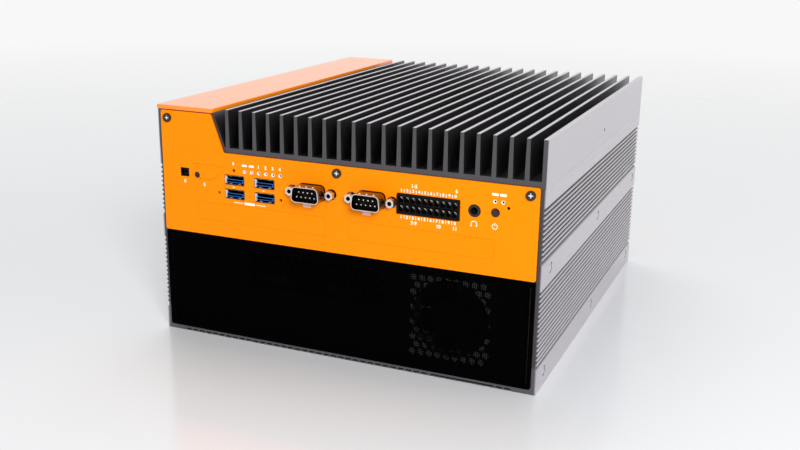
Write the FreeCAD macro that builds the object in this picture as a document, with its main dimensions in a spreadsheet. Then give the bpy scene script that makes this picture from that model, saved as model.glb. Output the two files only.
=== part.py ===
import FreeCAD, Part

import math
import os
import re

import Sketcher

# An industrial computer. A finned upper unit holds the board and cools without a fan, and the
# chassis under it holds expansion cards and has one small fan behind a dust filter.
# Millimetres. +X is to the right seen from the front, +Y points to the back, +Z is up.
# The origin is on the underside, in the middle of the case.

SIZES = {
    # Case
    "case_width": 240.0,
    "case_depth": 264.0,
    "wall_thick": 6.0,
    "flange_thick": 3.4,
    "slope_rise": 3.0,
    "sheet_thick": 1.5,
    "panel_thick": 1.5,
    "filter_thick": 1.0,
    "strip_wide": 3.0,
    # Levels, from the floor up
    "tray_floor": 2.6,
    "tray_flange": 13.8,
    "deck_low": 65.3,
    "flange_top": 74.2,
    "base_low": 116.3,
    "base_high": 120.1,
    "shelf_low": 136.8,
    "shelf_high": 140.0,
    "fin_top": 142.5,
    # Ribs of the side walls
    "rib_pitch": 2.84,
    "rib_relief": 3.6,
    "groove_wide": 2.1,
    "groove_floor": 1.1,
    "groove_deep": 1.2,
    "seam_cut": 0.5,
    "upper_ribs": 10,
    "lower_ribs": 15,
    # Heatsink
    "fin_count": 21,
    "fin_pitch": 9.06,
    "fin_start": 73.0,
    "fin_tip": 1.97,
    "fin_root": 2.7,
    "guard_thick": 2.8,
    "shelf_edge": 81.4,
    "shelf_root": 73.9,
    "slope_thick": 3.4,
    "earth_y": 5.5,
    "earth_high": 124.5,
    # Screws and the bosses that take them
    "boss_wide": 5.2,
    "middle_boss_wide": 7.3,
    "boss_long": 12.0,
    "screw_radius": 1.45,
    "tapped_radius": 1.5,
    "clear_radius": 1.7,
    "head_radius": 2.7,
    "head_high": 1.4,
    "sink_radius": 3.0,
    "sink_deep": 1.8,
    "panel_screw_bite": 8.0,
    "cover_screw_bite": 1.0,
    "corner_screw_x": 112.3,
    "corner_screw_high": 135.0,
    "side_screw_high": 112.8,
    "flange_screw_pitch": 117.0,
    "middle_screw_y": 3.0,
    "middle_screw_high": 68.8,
    "bottom_screw_y": 0.5,
    "bottom_screw_high": 8.8,
    "cover_screw_x": 102.5,
    "cover_screw_front": 98.5,
    "cover_screw_back": 108.5,
    # Front and rear panels
    "panel_low": 65.7,
    "panel_side_top": 117.0,
    "panel_top": 139.4,
    "panel_notch_top": 82.6,
    "panel_notch_root": 74.4,
    "score_deep": 0.35,
    "score_wide": 0.5,
    "blank_inner": 7.0,
    "blank_outer": 93.5,
    "blank_low": 75.0,
    "blank_high": 86.3,
    # Board
    "board_low": 86.9,
    "board_thick": 1.6,
    "board_half": 108.0,
    "board_reach": 127.5,
    "post_radius": 2.5,
    "post_x": 100.0,
    "post_y": 118.0,
    # Stacked data sockets
    "usb_left_x": 67.3,
    "usb_right_x": 47.1,
    "usb_rear_x": 88.0,
    "usb_low": 92.8,
    "usb_high": 101.3,
    "usb_wide": 12.5,
    "usb_tall": 5.1,
    "usb_skin": 0.3,
    "usb_deep": 12.0,
    "usb_block": 15.0,
    "usb_proud": 0.3,
    "tongue_wide": 10.8,
    "tongue_thick": 1.8,
    "tongue_drop": 0.5,
    "tongue_set": 0.6,
    "lock_left_x": 78.0,
    "lock_right_x": 36.4,
    "lock_high": 92.8,
    "lock_radius": 0.9,
    # Serial sockets
    "serial_left_x": -16.1,
    "serial_right_x": 21.3,
    "serial_high": 100.0,
    "serial_wide": 17.0,
    "serial_narrow": 15.0,
    "serial_tall": 8.3,
    "serial_skin": 0.5,
    "serial_cut": 1.4,
    "serial_proud": 9.0,
    "core_proud": 3.3,
    "serial_block": 14.0,
    "flange_wide": 30.8,
    "flange_tall": 12.5,
    "flange_skin": 0.8,
    "pin_pitch": 2.77,
    "pin_row": 1.42,
    "pin_radius": 0.5,
    "pin_long": 4.6,
    "jack_spacing": 25.0,
    "jack_flat": 4.8,
    "jack_long": 4.2,
    "jack_bore": 1.2,
    "jack_bore_deep": 3.8,
    # Terminal block
    "terminal_x": 55.0,
    "terminal_high": 99.9,
    "terminal_wide": 36.4,
    "terminal_tall": 11.3,
    "terminal_proud": 1.0,
    "terminal_columns": 10,
    "terminal_pitch": 3.5,
    "terminal_row": 5.0,
    "terminal_hole_wide": 2.6,
    "terminal_hole_tall": 3.4,
    "terminal_hole_deep": 8.0,
    "contact_wide": 1.0,
    "contact_long": 5.0,
    "terminal_back": 16.0,
    "terminal_foot_set": 4.0,
    # Sound socket
    "sound_x": 81.6,
    "sound_high": 100.9,
    "sound_radius": 3.35,
    "sound_bore": 1.8,
    "sound_deep": 14.0,
    "sound_block": 10.0,
    "sound_wall": 2.0,
    "sound_proud": 0.4,
    # Power button and reset plunger
    "power_x": 93.3,
    "power_high": 101.2,
    "power_radius": 2.1,
    "power_gap": 0.4,
    "power_proud": 0.8,
    "power_stem": 1.2,
    "switch_set": 4.0,
    "collar_gap": 1.5,
    "stem_gap": 0.1,
    "power_stem_bite": 2.5,
    "power_bore_deep": 4.0,
    "power_switch_side": 8.0,
    "power_switch_deep": 10.0,
    "reset_x": -67.6,
    "reset_high": 107.1,
    "reset_hole": 1.0,
    "reset_radius": 0.8,
    "reset_set": 0.5,
    "reset_bite": 2.0,
    "reset_bore_deep": 3.0,
    "reset_switch_side": 6.0,
    "reset_switch_deep": 8.0,
    # Lights
    "light_high": 107.2,
    "light_start": -60.1,
    "light_pitch": 4.7,
    "light_count": 6,
    "light_radius": 1.1,
    "light_gap": 0.1,
    "pipe_proud": 0.2,
    "pipe_root": 1.0,
    "bar_thick": 3.0,
    "bar_end": 1.8,
    "bar_half": 1.6,
    "status_x": 92.9,
    "status_pitch": 4.4,
    "status_count": 2,
    "spare_hole_x": 100.4,
    "spare_hole_high": 104.4,
    # Remote switch socket
    "remote_x": -101.6,
    "remote_high": 102.9,
    "remote_wide": 5.8,
    "remote_tall": 5.1,
    "remote_pitch": 2.0,
    "remote_skin": 0.6,
    "remote_deep": 6.0,
    "remote_pin_side": 0.6,
    "remote_pin_long": 5.0,
    "remote_body_wide": 9.0,
    "remote_body_deep": 12.0,
    "remote_body_rise": 4.0,
    # Card cover
    "card_left": 95.2,
    "card_right": 74.7,
    "card_low": 99.8,
    "card_high": 109.0,
    "card_notch_x": 82.4,
    "card_notch_high": 106.4,
    "card_gap": 0.25,
    "card_screw_x": 93.0,
    "card_screw_high": 102.0,
    "card_screw_hole": 1.2,
    "card_screw_sink": 1.9,
    "card_screw_head": 1.8,
    "card_screw_thread": 1.0,
    "card_screw_set": 0.1,
    "card_sink_deep": 0.9,
    "card_screw_bite": 5.0,
    "card_bore_radius": 1.1,
    "card_bore_deep": 8.0,
    "card_recess_wide": 2.2,
    "card_recess_tall": 0.5,
    "card_recess_deep": 0.5,
    "card_socket_deep": 14.0,
    "card_socket_left": 1.2,
    "card_socket_right": 0.5,
    "card_socket_rise": 1.5,
    # Rear sockets
    "lan_left_x": -84.0,
    "lan_right_x": -46.0,
    "lan_pitch": 15.8,
    "lan_wide": 31.6,
    "lan_tall": 13.4,
    "lan_mouth": 11.8,
    "lan_mouth_tall": 8.6,
    "lan_deep": 13.0,
    "lan_block": 16.0,
    "lan_lift": 0.8,
    "lan_key_wide": 6.4,
    "lan_key_deep": 2.0,
    "video_x": 4.0,
    "video_pitch": 24.0,
    "video_wide": 17.4,
    "video_tall": 6.4,
    "video_high": 93.0,
    "video_block": 14.0,
    "video_deep": 9.0,
    "video_skin": 0.5,
    "video_tongue_wide": 12.4,
    "video_tongue_thick": 1.4,
    "inlet_x": 62.0,
    "inlet_wide": 18.0,
    "inlet_tall": 10.0,
    "inlet_high": 94.5,
    "inlet_pitch": 5.08,
    "inlet_count": 3,
    "inlet_proud": 1.0,
    "inlet_foot_set": 4.0,
    "inlet_block": 16.0,
    "inlet_mouth_wide": 3.6,
    "inlet_mouth_tall": 5.2,
    "inlet_mouth_deep": 9.0,
    "rear_proud": 0.2,
    "fit_gap": 0.2,
    # Chassis front
    "grille_set": 4.0,
    "cell_pitch": 12.0,
    "cell_rib": 1.4,
    "vent_left": -67.8,
    "vent_right": 30.8,
    "vent_low": 33.2,
    "vent_high": 59.0,
    "patch_left": 14.0,
    "patch_wide": 21.0,
    "patch_low": 7.0,
    "patch_tall": 5.0,
    "patch_pitch": 45.5,
    "fan_x": 67.0,
    "fan_high": 34.0,
    "fan_side": 50.0,
    "fan_deep": 15.0,
    "fan_bore": 23.0,
    "fan_hub": 11.0,
    "fan_shaft": 1.5,
    "fan_shaft_gap": 0.05,
    "fan_plate": 2.0,
    "fan_strut": 2.0,
    "fan_strut_root": 1.0,
    "fan_strut_count": 4,
    "fan_vent_wide": 54.0,
    "fan_vent_tall": 46.0,
    "blade_count": 7,
    "blade_tip": 22.0,
    "blade_root": 3.0,
    "blade_front": 2.2,
    "blade_back": 4.0,
    "blade_half": 4.2,
    "blade_skin": 1.0,
    "blade_lip": 0.6,
    "rotor_front": 1.5,
    "rotor_gap": 0.6,
    "rotor_shrink": 0.5,
    "filter_columns": 9,
    "filter_rows": 3,
    "filter_border": 2.2,
    "filter_bar": 1.0,
    "filter_low": 3.2,
    "filter_top": 65.2,
    # Lip slots
    "slot_start": 106.4,
    "slot_count": 34,
    "slot_pitch": 4.82,
    "slot_long": 3.5,
    "slot_low": 0.6,
    "slot_tall": 0.8,
    "slot_deep": 6.0,
    "long_slot_left": 58.4,
    "long_slot_right": 96.0,
    # Base mounting holes
    "foot_hole_x": 90.0,
    "foot_hole_y": 100.0,
    "foot_hole_radius": 1.65,
    # Inside
    "chip_x": -38.0,
    "chip_y": -10.0,
    "chip_side": 37.5,
    "chip_high": 4.4,
    "spreader_side": 60.0,
    "riser_x": 60.0,
    "riser_long": 96.0,
    "riser_y": 60.0,
    "riser_low": 12.0,
    "card_pitch": 20.32,
    "card_first": 23.0,
    "card_count": 2,
    "riser_opening": 19.2,
    "riser_clear": 2.0,
    "riser_slot_deep": 11.0,
    "riser_slot_tall": 7.4,
    "riser_slot_end": 4.0,
    "riser_mouth_end": 6.0,
    "riser_mouth_deep": 8.0,
    "riser_mouth_tall": 1.8,
    "memory_left": 20.0,
    "memory_wide": 72.0,
    "memory_front": -44.0,
    "memory_spacing": 48.0,
    "memory_count": 2,
    "memory_socket_deep": 6.0,
    "memory_socket_high": 4.8,
    "module_lift": 2.0,
    "module_end": 2.0,
    "module_thick": 1.2,
    "module_deep": 30.0,
    "storage_x": -88.0,
    "storage_wide": 22.0,
    "storage_front": 4.0,
    "storage_back": 84.0,
    "storage_thick": 0.8,
    "storage_post": 2.5,
    "storage_socket_wide": 24.0,
    "storage_socket_deep": 8.0,
    "storage_socket_high": 4.2,
    "cell_x": 70.0,
    "cell_y": 66.0,
    "cell_radius": 10.0,
    "cell_high": 3.2,
    "chip_lid_set": 3.0,
    # Rear of the chassis
    "window_left": -62.0,
    "window_right": 44.0,
    "window_drop": 5.0,
    "window_rise": 7.0,
    "strip_lap": 2.5,
    "strip_left": -70.0,
    "strip_right": 50.0,
    "strip_thick": 1.0,
    "strip_screw_x": -66.0,
    "strip_screw_bite": 4.0,
    "strip_head_high": 1.6,
    "rear_vent_left": 62.0,
    "rear_vent_wide": 2.5,
    "rear_vent_low": 14.0,
    "rear_vent_high": 54.0,
    "rear_vent_pitch": 5.5,
    "rear_vent_count": 9,
}

doc = FreeCAD.newDocument("industrial_computer")
sheet = doc.addObject("Spreadsheet::Sheet", "Sizes")
for row, (word, number) in enumerate(SIZES.items(), 1):
    sheet.set(f"A{row}", word)
    sheet.set(f"B{row}", str(number))
    sheet.setAlias(f"B{row}", word)
doc.recompute()

WORDS = re.compile(r"\b(" + "|".join(sorted(SIZES, key=len, reverse=True)) + r")\b")

# Ends of the case and faces of its plates, as rules that name cells of the sheet
HALF = "case_width / 2"
INNER = "(case_width / 2 - wall_thick)"
SKIRT = "(case_width / 2 - flange_thick)"
FRONT = "-case_depth / 2"
BACK = "case_depth / 2"
PANEL_FACE = "(case_depth / 2 + panel_thick)"
PANEL_BACK = "case_depth / 2"
BOARD_TOP = "(board_low + board_thick)"
USB_TOP = "(usb_high + usb_tall / 2 + usb_skin)"
DECK_TOP = "(deck_low + sheet_thick)"

# Sides of small round features: covered ones, hexagonal ones, screw heads with their sinks,
# and hubs, buttons and cells
COVERED = 4
HEX = 6
HEAD = 8
ROUND = 16


def bind(thing, name, rule):
    """Bind one property of a document object to a rule on the sheet's cells."""
    thing.setExpression(name, WORDS.sub(r"Sizes.\1", str(rule)))


def size(word):
    """The sheet's value of one driving dimension."""
    return float(sheet.get(word))


def rect(left, low, right, high):
    return ((left, low), (right, low), (right, high), (left, high))


def centred(across, up, wide, tall):
    """A rectangle given by its middle and its two sides."""
    half_wide = f"({wide}) / 2"
    half_tall = f"({tall}) / 2"
    return rect(f"{across} - {half_wide}", f"{up} - {half_tall}",
                f"{across} + {half_wide}", f"{up} + {half_tall}")


def ring(across, up, radius, sides, spread=1.0):
    """A round outline with few sides, for small pegs and holes that repeat."""
    corners = []
    for i in range(sides):
        turn = 2 * math.pi * (i + 0.5) / sides
        corners.append((f"{across} + ({radius}) * {spread * math.cos(turn):.5f}",
                        f"{up} + ({radius}) * {spread * math.sin(turn):.5f}"))
    return corners


def pegs(rounds, sides):
    """Pegs with few sides, whose corners reach the given radius."""
    return [ring(across, up, radius, sides) for across, up, radius in rounds]


def holes(rounds, sides):
    """Holes with few sides, whose flats stay outside the given radius."""
    spread = 1 / math.cos(math.pi / sides)
    return [ring(across, up, radius, sides, spread) for across, up, radius in rounds]


def reach(end, inner, outer):
    """Two levels along Y at one end of the case, given as distances from its middle."""
    if end == "front":
        return f"-({outer})", f"-({inner})"
    return inner, outer


class Piece:
    """A PartDesign body. Its sketches lie on its own origin planes, and +X, +Y and +Z are
    always the way a feature runs from its near level to its far one."""

    PLANES = {"front": ("XZ_Plane", -1), "plan": ("XY_Plane", 1), "side": ("YZ_Plane", 1)}
    ROLES = {"X": "X_Axis", "Y": "Y_Axis", "Z": "Z_Axis"}
    made = []

    def __init__(self, label, at=("0", "0", "0")):
        self.body = doc.addObject("PartDesign::Body", label)
        self.body.Label = label
        for axis, rule in zip("xyz", at):
            bind(self.body, f"Placement.Base.{axis}", rule)
        Piece.made.append(self.body)

    def origin_part(self, role):
        return next(part for part in self.body.Origin.OriginFeatures if part.Role == role)

    def sketch(self, view, level, loops, rounds):
        role, facing = self.PLANES[view]
        sketch = self.body.newObject("Sketcher::SketchObject", "Sketch")
        sketch.AttachmentSupport = (self.origin_part(role), "")
        sketch.MapMode = "FlatFace"
        bind(sketch, "AttachmentOffset.Base.z", level if facing > 0 else f"-({level})")
        for loop in loops:
            self.draw_loop(sketch, loop)
        for across, up, radius in rounds:
            circle = sketch.addGeometry(Part.Circle(FreeCAD.Vector(1, 1, 0),
                                                    FreeCAD.Vector(0, 0, 1), 1))
            self.fix_point(sketch, circle, 3, across, up)
            held = sketch.addConstraint(Sketcher.Constraint("Radius", circle, 1.0))
            bind(sketch, f"Constraints[{held}]", radius)
        return sketch

    def draw_loop(self, sketch, loop):
        """A closed outline whose corners are each held from the sketch's origin."""
        count = len(loop)
        first = sketch.GeometryCount
        turn = 2 * math.pi / count
        ring = [FreeCAD.Vector(50 * math.cos(turn * i), 50 * math.sin(turn * i), 0)
                for i in range(count)]
        sketch.addGeometry([Part.LineSegment(ring[i], ring[(i + 1) % count])
                            for i in range(count)])
        sketch.addConstraint([Sketcher.Constraint("Coincident", first + i, 2,
                                                  first + (i + 1) % count, 1)
                              for i in range(count)])
        for i, (across, up) in enumerate(loop):
            self.fix_point(sketch, first + i, 1, across, up)

    def fix_point(self, sketch, geometry, end, across, up):
        for kind, rule in (("DistanceX", across), ("DistanceY", up)):
            held = sketch.addConstraint(Sketcher.Constraint(kind, -1, 1, geometry, end, 1.0))
            bind(sketch, f"Constraints[{held}]", rule)

    def feature(self, kind, view, near, far, loops, rounds, backwards):
        profile = self.sketch(view, near, loops, rounds)
        feature = self.body.newObject(f"PartDesign::{kind}", kind)
        feature.Profile = profile
        feature.Reversed = backwards
        bind(feature, "Length", f"({far}) - ({near})")
        self.body.Tip = feature
        return feature

    def grow(self, view, near, far, loops=(), rounds=()):
        """Add material between two levels."""
        return self.feature("Pad", view, near, far, loops, rounds, view == "front")

    def carve(self, view, near, far, loops=(), rounds=()):
        """Take material away between two levels."""
        return self.feature("Pocket", view, near, far, loops, rounds, view != "front")

    def repeat(self, feature, axis, pitch, count, backwards=False, second=None):
        """Repeat a feature along one axis, or along two."""
        pattern = self.body.newObject("PartDesign::LinearPattern", "Row")
        pattern.Originals = [feature]
        pattern.Direction = (self.origin_part(self.ROLES[axis]), [""])
        pattern.Mode = "Spacing"
        pattern.Reversed = backwards
        bind(pattern, "Offset", pitch)
        bind(pattern, "Occurrences", count)
        if second:
            axis, pitch, count = second
            pattern.Direction2 = (self.origin_part(self.ROLES[axis]), [""])
            pattern.Mode2 = "Spacing"
            pattern.Spacings2 = [-1.0]
            bind(pattern, "Offset2", pitch)
            bind(pattern, "Occurrences2", count)
        self.body.Tip = pattern
        return pattern

    def around(self, feature, axis, count):
        """Repeat a feature round one of the body's own axes."""
        pattern = self.body.newObject("PartDesign::PolarPattern", "Ring")
        pattern.Originals = [feature]
        pattern.Axis = (self.origin_part(self.ROLES[axis]), [""])
        pattern.Angle = 360
        bind(pattern, "Occurrences", count)
        self.body.Tip = pattern
        return pattern


# Upper unit

def panel_outline():
    """Outline of the front and rear panels: high at the left, cut down past a sloping notch."""
    edge = "(case_width / 2 - strip_wide)"
    return ((f"-{edge}", "panel_low"), (edge, "panel_low"), (edge, "panel_side_top"),
            ("-panel_notch_root", "panel_side_top"), ("-panel_notch_top", "panel_top"),
            (f"-{edge}", "panel_top"))


def panel_screw_places():
    """Places of the panel screws: top left corner, middle, and right."""
    return (("-corner_screw_x", "corner_screw_high"), ("0", "side_screw_high"),
            ("corner_screw_x", "side_screw_high"))


def heatsink():
    """The lid: a base plate with fins, a guard wall at the right and a hollow shelf at the left."""
    lid = Piece("heatsink")
    boss_x = f"-{INNER} + boss_wide"
    boss_low = "shelf_low - boss_wide"
    lid.grow("front", FRONT, BACK, [(
        (f"-{HALF}", "base_low"), (f"-{HALF}", "shelf_high"), ("-shelf_edge", "shelf_high"),
        ("-shelf_root", "base_high"), (f"{HALF} - guard_thick", "base_high"),
        (f"{HALF} - guard_thick", "fin_top"), (HALF, "fin_top"), (HALF, "base_low"),
        ("-shelf_root - slope_thick", "base_low"), ("-shelf_edge - slope_thick", "shelf_low"),
        (boss_x, "shelf_low"), (boss_x, boss_low), (f"-{INNER}", boss_low),
        (f"-{INNER}", "base_low"))])
    taper = "(fin_root - fin_tip) / 2"
    root_level = "(base_low + base_high) / 2"
    fin = lid.grow("front", FRONT, BACK, [(
        ("-fin_start", "fin_top"), ("-fin_start + fin_tip", "fin_top"),
        (f"-fin_start + fin_tip + {taper}", root_level), (f"-fin_start - {taper}", root_level))])
    lid.repeat(fin, "X", "fin_pitch", "fin_count")
    boss = centred("0", "(side_screw_high + base_low) / 2", "middle_boss_wide",
                   "base_low - side_screw_high + boss_wide")
    for end in ("front", "back"):
        near, far = reach(end, "case_depth / 2 - boss_long", "case_depth / 2")
        lid.grow("front", near, far, [boss])
        lid.carve("front", near, far,
                  holes([(x, z, "tapped_radius") for x, z in panel_screw_places()[:2]],
                        COVERED))
    lid.carve("plan", "shelf_low", "shelf_high",
              holes(cover_screw_rounds("tapped_radius"), COVERED))
    lid.carve("side", f"{HALF} - guard_thick", HALF,
              rounds=[("earth_y", "earth_high", "jack_bore")])


def cover_screw_rounds(radius):
    return [("-cover_screw_x", "-cover_screw_front", radius),
            ("-cover_screw_x", "cover_screw_back", radius)]


COVER_SEAT = "(fin_top - sink_deep / 2)"


def top_cover():
    """Flat bar over the shelf, level with the fins."""
    cover = Piece("top_cover")
    cover.grow("plan", "shelf_high", "fin_top",
               [rect(f"-{HALF} + fit_gap", f"-{PANEL_FACE}", "-shelf_edge + fit_gap", BACK)])
    cover.carve("plan", "shelf_high", "fin_top",
                holes(cover_screw_rounds("clear_radius"), COVERED))
    cover.carve("plan", COVER_SEAT, "fin_top", holes(cover_screw_rounds("sink_radius"), HEAD))


def relief_corners(side, lap):
    """Corners of a wall's outer face where it rises out of the sloping lap of the wall below."""
    floor = f"{side} * ({HALF} - groove_deep)"
    lead = "(groove_wide - groove_floor) / 2"
    return ((f"{side} * {SKIRT}", f"{lap} + slope_rise"),
            (floor, f"{lap} + slope_rise * groove_deep / flange_thick"),
            (floor, f"{lap} + rib_relief - {lead}"),
            (f"{side} * {HALF}", f"{lap} + rib_relief"))


def groove_row(wall, side, lap, count):
    """A row of grooves up one side wall, each with a rib under it, starting over a lap."""
    middle = f"{lap} + rib_relief + rib_pitch - groove_wide / 2"
    outer = f"{side} * ({HALF} + groove_deep)"
    face = f"{side} * {HALF}"
    floor = f"{side} * ({HALF} - groove_deep)"
    groove = wall.carve("front", FRONT, BACK, [(
        (outer, f"{middle} - groove_wide / 2"), (face, f"{middle} - groove_wide / 2"),
        (floor, f"{middle} - groove_floor / 2"), (floor, f"{middle} + groove_floor / 2"),
        (face, f"{middle} + groove_wide / 2"), (outer, f"{middle} + groove_wide / 2"))])
    wall.repeat(groove, "Z", "rib_pitch", count)


def side_screw_rounds(middle, level, radius):
    """Three screws along a side wall."""
    return [(f"{middle} + {step} * flange_screw_pitch", level, radius) for step in (-1, 0, 1)]


def side_span(side, inner, outer):
    """Two levels along X on one side of the case, given as distances from its middle."""
    if side > 0:
        return inner, outer
    return f"-({outer})", f"-({inner})"


def sink_side_screws(wall, side, middle, level):
    """Clearance holes through a side flange, each with a sink for the screw's head."""
    near, far = side_span(side, SKIRT, f"{HALF} - sink_deep")
    wall.carve("side", near, far, holes(side_screw_rounds(middle, level, "clear_radius"),
                                        COVERED))
    near, far = side_span(side, f"{HALF} - sink_deep", HALF)
    wall.carve("side", near, far, holes(side_screw_rounds(middle, level, "sink_radius"), HEAD))


def upper_wall(label, side):
    """Side wall of the upper unit. Its skirt hangs inside the chassis wall below."""
    wall = Piece(label)
    boss_x = f"{side} * ({INNER} - boss_wide)"
    inner = f"{side} * {INNER}"
    skirt = f"{side} * {SKIRT}"
    outer = f"{side} * {HALF}"
    boss_low = "side_screw_high - boss_wide / 2"
    wall.grow("front", FRONT, BACK, [(
        (inner, DECK_TOP), (skirt, DECK_TOP), *relief_corners(side, "flange_top"),
        (outer, "base_low - seam_cut"), (f"{outer} - {side} * seam_cut", "base_low"),
        (boss_x, "base_low"), (boss_x, boss_low), (inner, boss_low))])
    groove_row(wall, side, "flange_top", "upper_ribs")
    near, far = side_span(side, INNER, SKIRT)
    wall.carve("side", near, far, holes(side_screw_rounds(
        "middle_screw_y", "middle_screw_high", "tapped_radius"), COVERED))
    if side > 0:
        for end in ("front", "back"):
            near, far = reach(end, "case_depth / 2 - boss_long", "case_depth / 2")
            wall.carve("front", near, far, holes(
                [("corner_screw_x", "side_screw_high", "tapped_radius")], COVERED))


def lower_wall(label, side):
    """Side wall of the chassis. Its top flange laps over the skirt of the upper wall."""
    wall = Piece(label)
    inner = f"{side} * {INNER}"
    skirt = f"{side} * {SKIRT}"
    outer = f"{side} * {HALF}"
    wall.grow("front", FRONT, BACK, [(
        (inner, "tray_floor"), (skirt, "tray_floor"), *relief_corners(side, "tray_flange"),
        (outer, "flange_top"), (skirt, "flange_top + slope_rise"), (skirt, "deck_low"),
        (inner, "deck_low"))])
    groove_row(wall, side, "tray_flange", "lower_ribs")
    sink_side_screws(wall, side, "middle_screw_y", "middle_screw_high")
    near, far = side_span(side, INNER, SKIRT)
    wall.carve("side", near, far, holes(side_screw_rounds(
        "bottom_screw_y", "bottom_screw_high", "tapped_radius"), COVERED))


def bottom_tray():
    """Floor of the chassis, with a flange up each side and a slotted front lip."""
    tray = Piece("bottom_tray")
    tray.grow("front", FRONT, BACK, [(
        (f"-{HALF}", "0"), (HALF, "0"), (HALF, "tray_flange"),
        (SKIRT, "tray_flange + slope_rise"), (SKIRT, "tray_floor"), (f"-{SKIRT}", "tray_floor"),
        (f"-{SKIRT}", "tray_flange + slope_rise"), (f"-{HALF}", "tray_flange"))])
    low = "slot_low"
    high = "slot_low + slot_tall"
    slot = tray.carve("front", FRONT, f"{FRONT} + slot_deep",
                      [rect("-slot_start", low, "-slot_start + slot_long", high)])
    tray.repeat(slot, "X", "slot_pitch", "slot_count")
    short = "long_slot_right + slot_pitch - slot_long"
    tray.carve("front", FRONT, f"{FRONT} + slot_deep",
               [rect("long_slot_left", low, "long_slot_right", high),
                rect(short, low, f"{short} + slot_long", high),
                rect(f"{short} + slot_pitch", low, f"{short} + slot_pitch + slot_long", high)])
    for side in (-1, 1):
        sink_side_screws(tray, side, "bottom_screw_y", "bottom_screw_high")
    tray.carve("plan", "0", "tray_floor",
               holes([(f"{x} * foot_hole_x", f"{y} * foot_hole_y", "foot_hole_radius")
                      for x in (-1, 1) for y in (-1, 1)], HEX))


def card_outline(gap):
    """Outline of the card cover, drawn in by a gap."""
    return ((f"-card_left + {gap}", f"card_low + {gap}"),
            (f"-card_notch_x - {gap} / 2", f"card_low + {gap}"),
            (f"-card_right - {gap}", f"card_notch_high + {gap} / 2"),
            (f"-card_right - {gap}", f"card_high - {gap}"),
            (f"-card_left + {gap}", f"card_high - {gap}"))


def plug_shape(middle, spread):
    """D-shaped outline of a serial socket, wide side down, its corners cut, pushed out by a
    spread."""
    low = f"serial_high - serial_tall / 2 - {spread}"
    high = f"serial_high + serial_tall / 2 + {spread}"
    wide = f"serial_wide / 2 + {spread}"
    narrow = f"serial_narrow / 2 + {spread}"
    lean = "serial_cut * (serial_wide - serial_narrow) / 2 / serial_tall"
    right = [(f"{wide} - serial_cut", low), (f"{wide} - {lean}", f"{low} + serial_cut"),
             (f"{narrow} + {lean}", f"{high} - serial_cut"), (f"{narrow} - serial_cut", high)]
    return ([(f"{middle} + {x}", z) for x, z in right]
            + [(f"{middle} - ({x})", z) for x, z in reversed(right)])


SERIAL_PLACES = {"left": "serial_left_x", "right": "serial_right_x"}


def jack_pair(middle, radius):
    """The two jackscrew holes beside one serial socket."""
    return [(f"{middle} + {side} * jack_spacing / 2", "serial_high", radius)
            for side in (-1, 1)]


def jack_places():
    return [(x, z) for middle in SERIAL_PLACES.values() for x, z, _ in jack_pair(middle, "")]


def front_panel():
    """Front plate of the upper unit, with an opening for each socket."""
    panel = Piece("front_panel")
    face = f"-{PANEL_FACE}"
    panel.grow("front", face, FRONT, [panel_outline()])
    usb_wide = "usb_wide + 2 * usb_skin + fit_gap"
    usb_tall = "usb_tall + 2 * usb_skin + fit_gap"
    windows = [centred(f"-{x}", z, usb_wide, usb_tall)
               for x in ("usb_left_x", "usb_right_x") for z in ("usb_low", "usb_high")]
    windows += [plug_shape(x, "(serial_skin + fit_gap)") for x in SERIAL_PLACES.values()]
    windows.append(centred("terminal_x", "terminal_high", "terminal_wide + 2 * fit_gap",
                           "terminal_tall + 2 * fit_gap"))
    windows.append(centred("remote_x", "remote_high", "remote_wide + fit_gap",
                           "remote_tall + fit_gap"))
    windows.append(card_outline("0"))
    panel.carve("front", face, FRONT, windows)
    covered = [(x, z, "clear_radius") for x, z in (*panel_screw_places(), *jack_places())]
    panel.carve("front", face, FRONT, holes(covered, COVERED))
    panel.carve("front", face, FRONT,
                holes([("sound_x", "sound_high", "sound_radius + fit_gap"),
                       ("power_x", "power_high", "power_radius + power_gap")], ROUND))
    light_hole = "light_radius + light_gap"
    pinholes = [("reset_x", "reset_high", "reset_hole"),
                ("-lock_left_x", "lock_high", "lock_radius"),
                ("-lock_right_x", "lock_high", "lock_radius"),
                ("spare_hole_x", "spare_hole_high", "lock_radius"),
                ("status_x", "light_high", light_hole),
                ("status_x + status_pitch", "light_high", light_hole)]
    panel.carve("front", face, FRONT, holes(pinholes, HEX))
    light = panel.carve("front", face, FRONT,
                        holes([("light_start", "light_high", light_hole)], HEX))
    panel.repeat(light, "X", "light_pitch", "light_count")
    scores = []
    for side in (-1, 1):
        near, far = side_span(side, "blank_inner", "blank_outer")
        scores.append(rect(near, "blank_low", far, "blank_high"))
        near, far = side_span(side, "blank_inner + score_wide", "blank_outer - score_wide")
        scores.append(rect(near, "blank_low + score_wide", far, "blank_high - score_wide"))
    panel.carve("front", face, f"{face} + score_deep", scores)


def rear_panel():
    """Rear plate of the upper unit."""
    panel = Piece("rear_panel")
    panel.grow("front", BACK, PANEL_FACE, [panel_outline()])
    gap = "2 * fit_gap"
    windows = [centred(x, f"{BOARD_TOP} + lan_tall / 2", f"lan_wide + {gap}", f"lan_tall + {gap}")
               for x in ("lan_left_x", "lan_right_x")]
    windows += [centred(f"video_x + {i} * video_pitch", "video_high", f"video_wide + {gap}",
                        f"video_tall + {gap}") for i in (0, 1)]
    windows.append(centred("inlet_x", "inlet_high", f"inlet_wide + {gap}", f"inlet_tall + {gap}"))
    windows += [centred("usb_rear_x", z, "usb_wide + 2 * usb_skin + fit_gap",
                        "usb_tall + 2 * usb_skin + fit_gap") for z in ("usb_low", "usb_high")]
    panel.carve("front", BACK, PANEL_FACE, windows)
    panel.carve("front", BACK, PANEL_FACE,
                holes([(x, z, "clear_radius") for x, z in panel_screw_places()], COVERED))


# Chassis

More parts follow.
